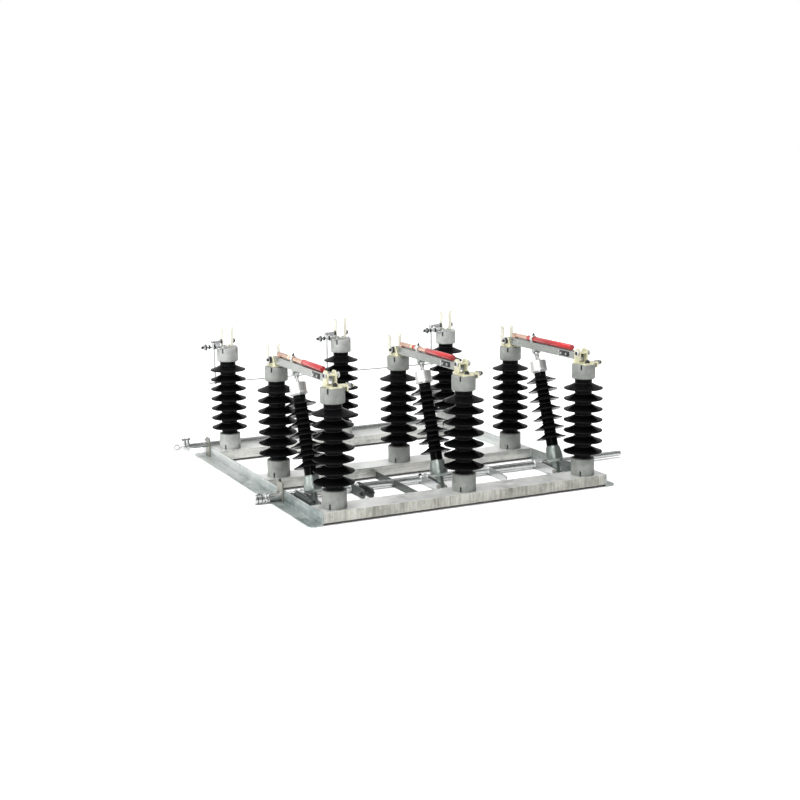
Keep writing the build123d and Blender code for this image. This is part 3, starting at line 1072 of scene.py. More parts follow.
# ---- insulators -------------------------------------------------------------
@dataclass(frozen=True)
class Ribbing:
    """Outline of a ribbed rubber housing, turned about its own axis.

    Args:
        trunk: Radius of the trunk.
        radius: Radius of the main sheds.
        first: Height of the first shed's rim above the housing's foot.
        pitch: Distance between main sheds.
        count: Number of main sheds.
        rise: Height from a shed's rim to its root on the upper side.
        small: Radius of the lesser sheds between them, if there are any.
        rim: Radius of a shed's rim.
        drop: Height from a shed's rim to its root on the lower side.
        small_at: Height of a lesser shed above a main one, as a share of the pitch.
        small_rise: Height from a lesser shed's rim to its upper root.
        small_drop: Height from its rim to its lower root.
        hollow: How hollow the upper sides are; 1 is a plain cone.
        corner: How far the corner at a lower root is cut off, outwards and up.
    """

    trunk: float
    radius: float
    first: float
    pitch: float
    count: int
    rise: float
    small: float = 0.0
    rim: float = 0.0015
    drop: float = 0.005
    small_at: float = 0.62
    small_rise: float = 0.009
    small_drop: float = 0.002
    hollow: float = 1.2
    corner: tuple[float, float] = (0.003, 0.001)

    def shed(self, radius: float, tip: float, rise: float, drop: float) -> list[tuple[float, float]]:
        """One shed, from its root below, round the rim and up its slightly hollow top.

        Args:
            radius: The shed's radius.
            tip: Height of its rim.
            rise: Height of its upper root above the rim.
            drop: Height of its lower root above the rim.

        Returns:
            The outline as radius and height.
        """
        reach = radius - self.rim
        out, up = self.corner
        below = [(self.trunk, tip + drop + up), (self.trunk + out, tip + drop - up)]
        edge = arc((reach, tip + self.rim), self.rim, -90.0, 80.0, 6)
        top = []
        for share in (i / 12 for i in range(1, 13)):
            top.append((reach + (self.trunk - reach) * share,
                        tip + 2 * self.rim + (rise - 2 * self.rim) * share ** self.hollow))
        return below + edge + top

    def outline(self, height: float) -> Outline:
        """The whole housing.

        Args:
            height: Height of the housing.

        Returns:
            The outline as radius and height, closed on the axis.
        """
        points = [(0.0, 0.0), (self.trunk, 0.0)]
        for i in range(self.count):
            tip = self.first + i * self.pitch
            points += self.shed(self.radius, tip, self.rise, self.drop)
            if self.small and i + 1 < self.count:
                lesser = tip + self.small_at * self.pitch
                points += self.shed(self.small, lesser, self.small_rise, self.small_drop)
        return points + [(self.trunk, height), (0.0, height)]


@dataclass
class PostInsulators(SubAssembly):
    """The nine posts: moulded housings between cast fittings with bolts in their slots.

    Args:
        ribs: Outline of the housings.
        sides: Facets round a housing.
        bolt_circle: Radius at which the slot bolts stand.
        stud: Thread diameter of the slot bolts.
        slot: Height of a slot.
        low_nut: Height of a nut in a lower fitting's slot.
        high_nut: Height of a nut in an upper fitting's slot.
        nut: Radius and height of a nut.
    """

    ribs: Ribbing = Ribbing(0.034, 0.077, 0.023, 0.0425, 7, 0.023, rim=0.0028)
    sides: int = 96
    bolt_circle: float = 0.0415
    stud: float = 0.0055
    slot: float = 0.020
    low_nut: float = 0.009
    high_nut: float = 0.002
    nut: tuple[float, float] = (0.0029, 0.0045)

    def build(self) -> None:
        """Builds the housings, finishes the fittings and sets the bolts."""
        for row in Row:
            for number, x in enumerate(self.layout.phases, 1):
                self.housing(row, number, x)
            # Painted light: the rear row takes a paler copy of the fitting finish.
            coat = Coat.REAR_LIT_FITTING if row is Row.REAR else Coat.FITTING
            self.dress(f"{row.value}_post_fittings", coat, 0.0012)
            self.slot_bolts(row)

    def housing(self, row: Row, number: int, x: float) -> None:
        """Builds one housing in place of its packed stand-in.

        Args:
            row: Its row.
            number: Its phase, from 1.
            x: The phase's X.
        """
        node = f"{row.value}_post_{number}"
        low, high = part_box(node)
        foot = (x, self.layout.rows[row], low.z)
        shape = Shape()
        shape.turn(Matrix.Translation(foot), self.ribs.outline(high.z - low.z), self.sides)
        piece = self.keep(shape, f"{row.value}_housing_{number}", Coat.RUBBER, origin=foot, crease=60.0)
        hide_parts(node)

    def slot_bolts(self, row: Row) -> None:
        """Sets the studs and nuts that show in the slots of a row's fittings.

        Args:
            row: The row.
        """
        shape = Shape()
        slots = ((self.layout.seat, self.low_nut), (self.layout.post_top - self.slot, self.high_nut))
        corners = arc((0.0, self.layout.rows[row]), self.bolt_circle, 45.0, 315.0, 3)
        for x in self.layout.phases:
            for low, nut_at in slots:
                for dx, y in corners:
                    foot = facing((x + dx, y, low), UP)
                    shape.thread(foot, self.stud / 2, length=self.slot - 0.0005, pitch=0.001)
                    shape.disc(raised(foot, nut_at), *self.nut)
        self.keep(shape, f"{row.value}_slot_bolts", Coat.DARK)


@dataclass
class PushInsulators(SubAssembly):
    """The three leaning rods that push the blades. Distances run up the axis from the crank pin.

    Args:
        ribs: Outline of the housings, with lesser sheds between.
        sides: Facets round a housing.
        foot: Distance of the housing's foot.
        head: Distance of its head.
        rings: Distance, radius and height of each clamp ring.
        strap_bolt: Distance of the bolts through the strap.
        strap: Half the strap's width.
    """

    ribs: Ribbing = Ribbing(0.024, 0.0615, 0.034, 0.040, 7, 0.022, small=0.0270, rim=0.0024, drop=0.007)
    sides: int = 80
    foot: float = 0.104
    head: float = 0.420
    rings: tuple[Point, ...] = ((0.416, 0.0275, 0.0042), (0.1035, 0.0260, 0.0045))
    strap_bolt: float = 0.489
    strap: float = 0.003

    def build(self) -> None:
        """Builds the three rods."""
        for number, x in enumerate(self.layout.phases, 1):
            self.dress(f"push_fittings_{number}", Coat.BELL, 0.0008)
            self.housing(number, x)
            self.trim(number, x)

    def axis(self, x: float, distance: float) -> Matrix:
        """Placement on a rod's axis, facing along it.

        Args:
            x: X of the rod.
            distance: Distance up the axis.

        Returns:
            The placement.
        """
        low = Vector((x, *self.layout.crank_pin))
        along = (Vector((x, *self.layout.link_top)) - low).normalized()
        return facing(low + along * distance, along)

    def housing(self, number: int, x: float) -> None:
        """Builds one rod's housing in place of its packed stand-in.

        Args:
            number: Its phase, from 1.
            x: The phase's X.
        """
        place = self.axis(x, self.foot)
        shape = Shape()
        shape.turn(place, self.ribs.outline(self.head - self.foot), self.sides)
        piece = self.keep(shape, f"push_housing_{number}", Coat.RUBBER, f"push_link_{number}",
                          origin=place.translation, crease=60.0)
        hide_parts(f"push_insulator_{number}")

    def trim(self, number: int, x: float) -> None:
        """Adds the clamp rings and the strap's bolts of one rod.

        Args:
            number: Its phase, from 1.
            x: The phase's X.
        """
        shape = Shape()
        for distance, radius, height in self.rings:
            shape.disc(self.axis(x, distance), radius, height, edge=0.0008)
        through = self.axis(x, self.strap_bolt).translation
        for side in Side:
            shape.nut(outward(through + side * self.strap * RIGHT, side), thread=0.006, tip=0.002)
        self.keep(shape, f"push_trim_{number}", Coat.BELL, f"push_link_{number}")


# ---- frame and shafts -------------------------------------------------------
@dataclass
class BaseFrame(SubAssembly):
    """The galvanised frame with its welds and the bolts that hold the posts.

    Args:
        rail_width: Width of a cross rail.
        rail_height: Height of a cross rail.
        rail_wall: Thickness of a rail's top.
        web: Distance from the middle to the inner face of each side's web.
        weld: Radius of a weld.
        weld_out: How far a weld's middle stands off a rail.
        bolt_spacing: Distance between the bolts of one post.
        bolt: Washer and head of a post's bolt.
    """

    rail_width: float = 0.116
    rail_height: float = 0.040
    rail_wall: float = 0.004
    web: float = 0.610
    weld: float = 0.003
    weld_out: float = 0.001
    bolt_spacing: float = 0.050
    bolt: Stack = (Fixing(Shape.disc, 0.0, 0.0120, 0.0024), Fixing(Shape.hexagon, 0.0024, 0.018, 0.0075))

    def build(self) -> None:
        """Finishes the frame and adds its welds and bolts."""
        for node in ("left_side_angle", "right_side_angle"):
            self.dress(node, Coat.FRAME, 0.0012)
        for node in ("middle_rail", "rear_rail"):
            self.dress(node, Coat.CROSS, 0.0012)
        self.dress("front_rail", Coat.RAIL, 0.0012)
        self.dress("centre_tie", Coat.LEVER)
        self.welds()
        self.bolts()

    def welds(self) -> None:
        """Lays the welds between rail ends and webs."""
        shape = Shape()
        top = self.layout.seat
        low = top - self.rail_height
        for y in self.layout.rows.values():
            for side in Side:
                x = side * self.web
                for edge in (-1, 1):
                    face = y + edge * (self.rail_width / 2 + self.weld_out)
                    shape.bead((x, face, low + self.weld), (x, face, top - self.weld), self.weld)
        self.keep(shape, "frame_welds", Coat.FRAME)

    def bolts(self) -> None:
        """Sets the four bolts under each post, heads inside the rail."""
        shape = Shape()
        half = self.bolt_spacing / 2
        under = self.layout.seat - self.rail_wall
        for y in self.layout.rows.values():
            for x in self.layout.phases:
                for dx in (-half, half):
                    for dy in (-half, half):
                        fit(facing((x + dx, y + dy, under), -UP), self.bolt, shape)
        self.keep(shape, "post_bolts", Coat.ZINC)


@dataclass
class OperatingShaft(SubAssembly):
    """The operating shaft with its cranks, levers, pins and welds.

    Args:
        radius: Radius of the shaft.
        crank_out: Distance from a crank's middle to its outer faces.
        pin: A crank's pin.
        weld: Outline of a weld, outwards from the shaft and along it.
        stop: X of the double stop lever.
        stop_out: Distance from its middle to its outer faces.
        stop_reach: Distance from the shaft to its cross pin.
        stop_end: Radius of its rounded ends.
        gap_shade_out: Distance from its middle to the outer faces of the dark fillers between its plates,
            which are painted shadow.
        gap_shades: Side, thickness and finish of each dark filler.
        cross_pin: Radius of its cross pin.
        nut_out: Distance from its middle to the cross pin's washers.
        single: X of the single lever.
        single_out: Distance from its middle to its outer faces.
        clamp_bolt: Distance of the middle crank's bolt from the shaft, along Y and up.
        collar: Outline of the collar on the shaft's left end.
        rings: Places of the dark rings round it.
        ring: Radius and width of such a ring.
        screw: Distance of its grub screw from its left end, and from its axis.
    """

    radius: float = 0.014
    crank_out: float = 0.014
    pin: CrossPin = CrossPin(0.006, 0.0095, 0.0035, 0.0016, 0.0080, 0.0048, 0.0075, 0.0011, 0.0008, 0.0010)
    weld: Outline = ((-0.0005, 0.0), (0.0042, 0.0), (0.0030, 0.0022), (-0.0005, 0.0045))
    stop: float = -0.303
    stop_out: float = 0.021
    stop_reach: float = 0.115
    stop_end: float = 0.0186
    gap_shade_out: float = 0.0181
    # Dark fillers between the lever's plates: painted shadow in the gap.
    gap_shades: tuple[tuple[Side, float, Coat], ...] = (
        (Side.LEFT, 0.0072, Coat.LEVER), (Side.RIGHT, 0.0110, Coat.DARK))
    cross_pin: float = 0.004
    nut_out: float = 0.0216
    single: float = 0.303
    single_out: float = 0.003
    clamp_bolt: tuple[float, float] = (-0.004, 0.0145)
    collar: Outline = ((0.0, -0.0003), (0.0155, -0.0003), (0.0174, 0.0016), (0.0174, 0.0356),
                       (0.0158, 0.0374), (0.0, 0.0374))
    rings: tuple[float, ...] = (0.0090, 0.0250)
    ring: tuple[float, float] = (0.0180, 0.0030)
    screw: tuple[float, float] = (0.019, 0.0170)

    def build(self) -> None:
        """Finishes the shaft and adds its details."""
        self.dress("operating_shaft", Coat.ZINC)
        self.welds()
        self.crank_pins()
        self.stop_lever()
        self.end_collar()

    def welds(self) -> None:
        """Lays fillet welds round the shaft on the outer faces of the cranks and levers."""
        shape = Shape()
        fillet = [(self.radius + out, along) for out, along in self.weld]
        levers = [(x, self.crank_out) for x in self.layout.phases]
        for x, out in (*levers, (self.stop, self.stop_out), (self.single, self.single_out)):
            for side in Side:
                shape.turn(outward((x + side * out, *self.layout.shaft), side), fillet, closed=True)
        self.keep(shape, "shaft_welds", Coat.ZINC, "operating_shaft")

    def crank_pins(self) -> None:
        """Heads, washers and split pins of the crank pins."""
        shape = Shape()
        for x in self.layout.phases:
            self.pin.place(shape, x, self.layout.crank_pin, self.crank_out)
        self.keep(shape, "crank_pins", Coat.PASSIVE, "operating_shaft")

    def stop_lever(self) -> None:
        """Dark fillers between the double lever's plates as painted shadow in the gap, its cross pin, and the
        middle crank's clamp bolt.
        """
        y, z = self.layout.shaft
        outline = (arc((0.0, 0.0), self.stop_end, 90.0, 270.0, 12)
                   + arc((self.stop_reach, 0.0), self.stop_end, -90.0, 90.0, 12))
        # Painted shadow: dark fillers in the gap between the lever's plates.
        for side, thick, coat in self.gap_shades:
            middle = self.stop + side * (self.gap_shade_out - thick / 2)
            place = Matrix.Translation((middle, y, z)) @ Matrix(
                ((0, 0, side, 0), (-1, 0, 0, 0), (0, 1, 0, 0), (0, 0, 0, 1)))
            shape = Shape()
            shape.plate(place, outline, thick, edge=0.0009)
            self.keep(shape, f"stop_lever_gap_shade_{side.name.lower()}", coat, "operating_shaft")
        pins = Shape()
        end = y - self.stop_reach
        for side in Side:
            at = (self.stop + side * self.nut_out, end, z)
            pins.nut(outward(at, side), thread=2 * self.cross_pin, tip=0.004)
        pins.tube([Vector((self.stop + side * self.stop_out, end, z)) for side in Side], self.cross_pin, 16)
        along, rise = self.clamp_bolt
        pins.nut(facing((-self.crank_out, y + along, z + rise), UP), thread=0.006, tip=0.003)
        self.keep(pins, "lever_fasteners", Coat.DARK, "operating_shaft")

    def end_collar(self) -> None:
        """Collar on the left end of the shaft, with dark rings and its grub screw."""
        y, z = self.layout.shaft
        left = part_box("operating_shaft")[0].x
        place = outward((left, y, z), Side.RIGHT)
        shape = Shape()
        shape.turn(place, self.collar)
        self.keep(shape, "shaft_collar", Coat.ZINC, "operating_shaft")
        dark = Shape()
        for ring in self.rings:
            dark.disc(raised(place, ring), *self.ring)
        inward, rise = self.screw
        dark.hexagon(facing((left + inward, y, z + rise), UP), flats=0.008, height=0.0035)
        self.keep(dark, "collar_screw", Coat.DARK, "operating_shaft")


@dataclass
class Supports(SubAssembly):
    """Shaft bearings, their fasteners, and the buffer spring inside the left side.

    Args:
        web: Distance from the middle to the outer face of each side's web.
        web_wall: Thickness of a web.
        plate: Thickness of a bearing plate.
        plate_top: Height of the operating shaft's bearing plates.
        bolts_apart: Half the distance between the bolts beside each of the two shafts.
        bolt_rise: Height of the bolts above their shaft.
        bolt_low: Least height of the bolts.
        spring_x: X of the spring's axis.
        spring_z: Height of the spring's axis.
        spring_front: Y of the spring's front end.
        spring_rear: Y of its rear end.
        spring_radius: Radius to the middle of its wire.
        spring_turns: Number of its turns.
        spring_close: Length of the closed turn at its front end.
        wire: Radius of its wire.
        front_hook: Reach of the hook at its front end.
        rear_hook: Reach of the hook at its rear end.
    """

    web: float = 0.615
    web_wall: float = 0.005
    plate: float = 0.006
    plate_top: float = 0.080
    bolts_apart: tuple[float, float] = (0.022, 0.017)
    bolt_rise: float = 0.018
    bolt_low: float = 0.024
    spring_x: float = -0.588
    spring_z: float = 0.048
    spring_front: float = -0.531
    spring_rear: float = -0.373
    spring_radius: float = 0.0105
    spring_turns: float = 26.0
    spring_close: float = 0.0012
    wire: float = 0.0015
    front_hook: float = 0.012
    rear_hook: float = 0.042

    def build(self) -> None:
        """Finishes the bearings and adds bolts and the spring."""
        self.dress("shaft_bearings", Coat.PASSIVE, 0.0008)
        self.bolts()
        self.spring()

    def bolts(self) -> None:
        """Bolts through the bearing plates and a grease nipple on top of each."""
        shape = Shape()
        for side in Side:
            x = side * (self.web + self.plate)
            for (y, z), half in zip((self.layout.shaft, self.layout.rear_shaft), self.bolts_apart):
                for dy in (-half, half):
                    at = (x, y + dy, max(z + self.bolt_rise, self.bolt_low))
                    shape.nut(outward(at, side), thread=0.006, tip=0.003)
        self.keep(shape, "bearing_bolts", Coat.ZINC)
        nipples = Shape()
        for side in Side:
            x = side * (self.web + self.plate / 2)
            top = facing((x, self.layout.shaft[0], self.plate_top), UP)
            nipples.hexagon(top, flats=0.010, height=0.006)
            nipples.disc(raised(top, 0.006), radius=0.0035, height=0.006, edge=0.001)
        self.keep(nipples, "bearing_top_bolts", Coat.DARK)

    def spring(self) -> None:
        """The buffer spring, its hooked ends and the bolts that they hold to."""
        x, z = self.spring_x, self.spring_z
        coil = Shape()
        foot = facing((x, self.spring_front, z), REARWARD)
        length = self.spring_rear - self.spring_front
        coil.coil(foot, self.spring_radius, self.wire, length, self.spring_turns)
        coil.coil(raised(foot, -self.spring_close), self.spring_radius, self.wire, self.spring_close, 1.0)
        self.keep(coil, "buffer_spring_coil", Coat.LEVER)
        bolts = Shape()
        hooks = Shape()
        for y, reach in ((self.spring_rear, self.rear_hook), (self.spring_front, -self.front_hook)):
            at = (self.web_wall - self.web, y + reach, z - 0.010)
            bolts.nut(outward(at, Side.RIGHT), thread=0.008, tip=0.010)
            hooks.tube([Vector((x, y, z + self.spring_radius)), Vector((x, y + 0.4 * reach, z)),
                        Vector((x, y + reach, z - 0.008))], self.wire, 8)
        self.keep(bolts, "buffer_spring_bolts", Coat.DARK)
        self.keep(hooks, "buffer_spring_hooks", Coat.LEVER)


@dataclass
class TripGear(SubAssembly):
    """The trip shaft along the rear rail and the rod that joins the trip levers.

    Args:
        lever: X of each lever's right face from its phase.
        rod_height: Height of the rod.
        clip: Radius and thickness of the clips on the rod.
        end_plates: X of the outer faces of the two tapered plates at the shaft's left end.
        end_bolt: Height of their bolt above the shaft.
    """

    lever: float = -0.0308
    rod_height: float = 0.330
    clip: tuple[float, float] = (0.0058, 0.004)
    end_plates: tuple[float, float] = (-0.731, -0.707)
    end_bolt: float = 0.032

    def build(self) -> None:
        """Finishes the gear and adds its bolts."""
        self.dress("trip_shaft", Coat.ZINC)
        self.dress("trip_rod", Coat.ZINC, 0.0)
        self.pivots()
        self.shaft_end()

    def pivots(self) -> None:
        """Shoulder bolts at the levers' pivots and clips where they hold the rod."""
        shape = Shape()
        clips = Shape()
        y, z = self.layout.trip_pivot
        for x in self.layout.phases:
            shape.nut(outward((x + self.lever, y, z), Side.RIGHT), thread=0.006, tip=0.003)
            clips.disc(outward((x + self.lever, y, self.rod_height), Side.RIGHT), *self.clip, edge=0.0008)
        self.keep(shape, "trip_pivot_bolts", Coat.DARK)
        self.keep(clips, "trip_rod_clips", Coat.DARK, "trip_rod")

    def shaft_end(self) -> None:
        """Bolt through the two tapered plates at the trip shaft's left end."""
        y, z = self.layout.rear_shaft
        shape = Shape()
        ends = [Vector((x, y, z + self.end_bolt)) for x in self.end_plates]
        for end, side in zip(ends, Side):
            shape.nut(outward(end, side), thread=0.006, tip=0.003)
        shape.tube(ends, 0.003, 16)
        self.keep(shape, "trip_lever_bolt", Coat.PASSIVE, "trip_shaft")


# ---- contacts and blades ----------------------------------------------------
@dataclass
class Contacts(SubAssembly):
    """Hinges, jaws, fuse clips and terminals with their fasteners.

    Args:
        bed: Thickness of the base plates on the posts.
        hinge_out: Distance from a blade's middle to the hinge cheeks' outer faces.
        hinge_left: Fixings on the left of a hinge.
        hinge_right: Fixings on its right.
        hinge_ring: Place of the spring ring over the left nut, and the ring's outline.
        jaw_out: Distance from a blade's middle to the jaw cheeks' outer faces.
        jaw_bar: Y and Z of the jaw's pressure bar from the front row and the posts' top.
        jaw_coil: Place of each pressure spring on the bar, its radius, wire, length and turns.
        jaw_cup: Place of the cup round it, and the cup's outline.
        jaw_nut: The nut at each end of the pressure bar.
        pad_face: Distance from a phase to its front terminal face.
        front_stud: Fixings on a front terminal's stud.
        stud_left: Distance from a phase to the rear stud's block.
        stud_rise: Height of the rear studs above the base plates.
        rear_stud: Fixings on a rear terminal's stud.
        side_out: Distance from a phase to the faces that hold the rear terminal's side screws.
        side_rise: Height of the side screws above the studs.
        side_left: Head of the left one.
        side_pin: Outline of the pin on its head.
        side_right: Fixings of the right one.
        jaw_bolt: Y of the bolt in front of each jaw, from its row.
        bed_screws: Row, distances across and along, height above the base plate, thread and tip
            of each pair of bolts.
    """

    bed: float = 0.006
    hinge_out: float = 0.019
    hinge_left: Stack = (
        Fixing(Shape.disc, 0.0, 0.0145, 0.0022),
        Fixing(Shape.hexagon, 0.0022, 0.0245, 0.0085, dark=True),
        Fixing(Shape.thread, 0.0, 0.0058, 0.0210, dark=True),
    )
    hinge_right: Stack = (
        Fixing(Shape.disc, 0.0, 0.0145, 0.0022),
        Fixing(Shape.hexagon, 0.0022, 0.0215, 0.0075, dark=True),
    )
    hinge_ring: tuple[float, Outline] = (0.0112, (
        (0.0060, 0.0), (0.0125, 0.0006), (0.0130, 0.0020), (0.0080, 0.0030), (0.0060, 0.0030)))
    jaw_out: float = 0.0195
    jaw_bar: tuple[float, float] = (0.008, 0.042)
    jaw_coil: tuple[float, ...] = (0.0008, 0.0075, 0.0011, 0.0080, 3.5)
    jaw_cup: tuple[float, Outline] = (0.0060, (
        (0.0042, 0.0030), (0.0098, 0.0030), (0.0098, 0.0), (0.0112, 0.0), (0.0112, 0.0034),
        (0.0102, 0.0044), (0.0042, 0.0044)))
    jaw_nut: Stack = (Fixing(Shape.hexagon, 0.0098, 0.0130, 0.0032),)
    pad_face: float = 0.056
    front_stud: Stack = (
        Fixing(Shape.disc, 0.0, 0.0125, 0.0024),
        Fixing(Shape.hexagon, 0.0024, 0.0165, 0.0080),
        Fixing(Shape.disc, 0.0125, 0.0110, 0.0020),
        Fixing(Shape.thread, 0.0, 0.0052, 0.0276),
        Fixing(Shape.hexagon, 0.0150, 0.0160, 0.0070, dark=True),
    )
    stud_left: float = 0.052
    stud_rise: float = 0.002
    rear_stud: Stack = (
        Fixing(Shape.thread, 0.0, 0.0054, 0.0600),
        Fixing(Shape.disc, 0.0, 0.0125, 0.0030),
        Fixing(Shape.hexagon, 0.0030, 0.0190, 0.0080, dark=True),
        Fixing(Shape.disc, 0.0110, 0.0120, 0.0024),
        Fixing(Shape.hexagon, 0.0270, 0.0170, 0.0060, dark=True),
        Fixing(Shape.disc, 0.0430, 0.0135, 0.0055, dark=True),
        Fixing(Shape.hexagon, 0.0485, 0.0190, 0.0085),
        Fixing(Shape.thread, 0.0560, 0.0060, 0.0118, dark=True),
    )
    side_out: float = 0.025
    side_rise: float = 0.022
    side_left: Stack = (Fixing(Shape.hexagon, 0.0, 0.0185, 0.0060, dark=True),)
    side_pin: Outline = ((0.0, 0.0058), (0.0072, 0.0058), (0.0072, 0.0098), (0.0064, 0.0178),
                         (0.0046, 0.0498), (0.0, 0.0508))
    side_right: Stack = (
        Fixing(Shape.disc, 0.0, 0.0125, 0.0035, dark=True),
        Fixing(Shape.hexagon, 0.0035, 0.0170, 0.0060, dark=True),
    )
    jaw_bolt: float = -0.026
    bed_screws: tuple[tuple[Row, float, float, float, float, float], ...] = (
        (Row.REAR, 0.027, -0.024, 0.0, 0.006, 0.002),
        (Row.MIDDLE, 0.010, 0.030, 0.003, 0.005, 0.0),
        (Row.REAR, 0.010, 0.0, 0.003, 0.005, 0.0),
    )

    def build(self) -> None:
        """Finishes the contacts and adds their fasteners."""
        for number in (1, 2, 3):
            self.dress(f"blade_hinge_{number}", Coat.TIN)
            self.dress(f"blade_jaw_{number}", Coat.TIN)
        self.dress("middle_fuse_clips", Coat.CLIP)
        self.dress("rear_fuse_clips", Coat.CLIP)
        self.dress("rear_terminals", Coat.ZINC)
        self.hinge_fasteners()
        self.jaw_springs()
        self.front_studs()
        self.rear_studs()
        self.bed_bolts()

    def hinge_fasteners(self) -> None:
        """Washers and nuts of the pivots, with a thread's end and a spring ring on the left."""
        dark = Shape()
        pale = Shape()
        y, z = self.layout.blade_pivot
        ring_at, outline = self.hinge_ring
        for x in self.layout.phases:
            left = outward((x - self.hinge_out, y, z), Side.LEFT)
            fit(left, self.hinge_left, pale, dark)
            pale.turn(raised(left, ring_at), outline, closed=True)
            fit(outward((x + self.hinge_out, y, z), Side.RIGHT), self.hinge_right, pale, dark)
        self.keep(dark, "hinge_nuts", Coat.DARK)
        self.keep(pale, "hinge_washers", Coat.ZINC)

    def jaw_springs(self) -> None:
        """Pressure springs on the jaw bars, between spring cups and end nuts."""
        y = self.layout.rows[Row.FRONT] + self.jaw_bar[0]
        z = self.layout.post_top + self.jaw_bar[1]
        cups = Shape()
        coils = Shape()
        nuts = Shape()
        coil_at, *coil = self.jaw_coil
        cup_at, cup = self.jaw_cup
        for x in self.layout.phases:
            for side in Side:
                place = outward((x + side * self.jaw_out, y, z), side)
                coils.coil(raised(place, coil_at), *coil)
                cups.turn(raised(place, cup_at), cup, closed=True)
                fit(place, self.jaw_nut, nuts)
        self.keep(cups, "jaw_spring_cups", Coat.WHITE)
        self.keep(coils, "jaw_springs", Coat.ZINC)
        self.keep(nuts, "jaw_bar_nuts", Coat.DARK)

    def front_studs(self) -> None:
        """Threads, washers and nuts on the front terminal studs."""
        bright = Shape()
        dark = Shape()
        for x in self.layout.phases:
            foot = (x + self.pad_face, self.layout.rows[Row.FRONT], self.layout.post_top)
            fit(outward(foot, Side.RIGHT), self.front_stud, bright, dark)
        self.keep(bright, "front_stud_nuts", Coat.ZINC)
        self.keep(dark, "front_lock_nuts", Coat.DARK)

    def rear_studs(self) -> None:
        """Threads, washers and nuts on the rear terminal studs, and the terminals' side screws."""
        bright = Shape()
        dark = Shape()
        y = self.layout.rows[Row.REAR]
        z = self.layout.post_top + self.bed + self.stud_rise
        for x in self.layout.phases:
            fit(outward((x - self.stud_left, y, z), Side.LEFT), self.rear_stud, bright, dark)
            left = outward((x - self.side_out, y, z + self.side_rise), Side.LEFT)
            fit(left, self.side_left, bright, dark)
            bright.turn(left, self.side_pin)
            right = outward((x + self.side_out, y, z + self.side_rise), Side.RIGHT)
            fit(right, self.side_right, bright, dark)
        self.keep(bright, "rear_stud_nuts", Coat.ZINC)
        self.keep(dark, "rear_lock_nuts", Coat.DARK)

    def bed_bolts(self) -> None:
        """Bolts that hold the base plates, jaw feet and clips to the post caps."""
        zinc = Shape()
        dark = Shape()
        rows = self.layout.rows
        top = self.layout.post_top + self.bed
        for x in self.layout.phases:
            dark.nut(facing((x, rows[Row.FRONT] + self.jaw_bolt, top), UP), thread=0.010, tip=0.003)
            for side in Side:
                for row, across, along, rise, thread, tip in self.bed_screws:
                    foot = (x + side * across, rows[row] + along, top + rise)
                    zinc.nut(facing(foot, UP), thread, tip)
        self.keep(zinc, "bed_bolts", Coat.ZINC)
        self.keep(dark, "jaw_foot_bolts", Coat.DARK)


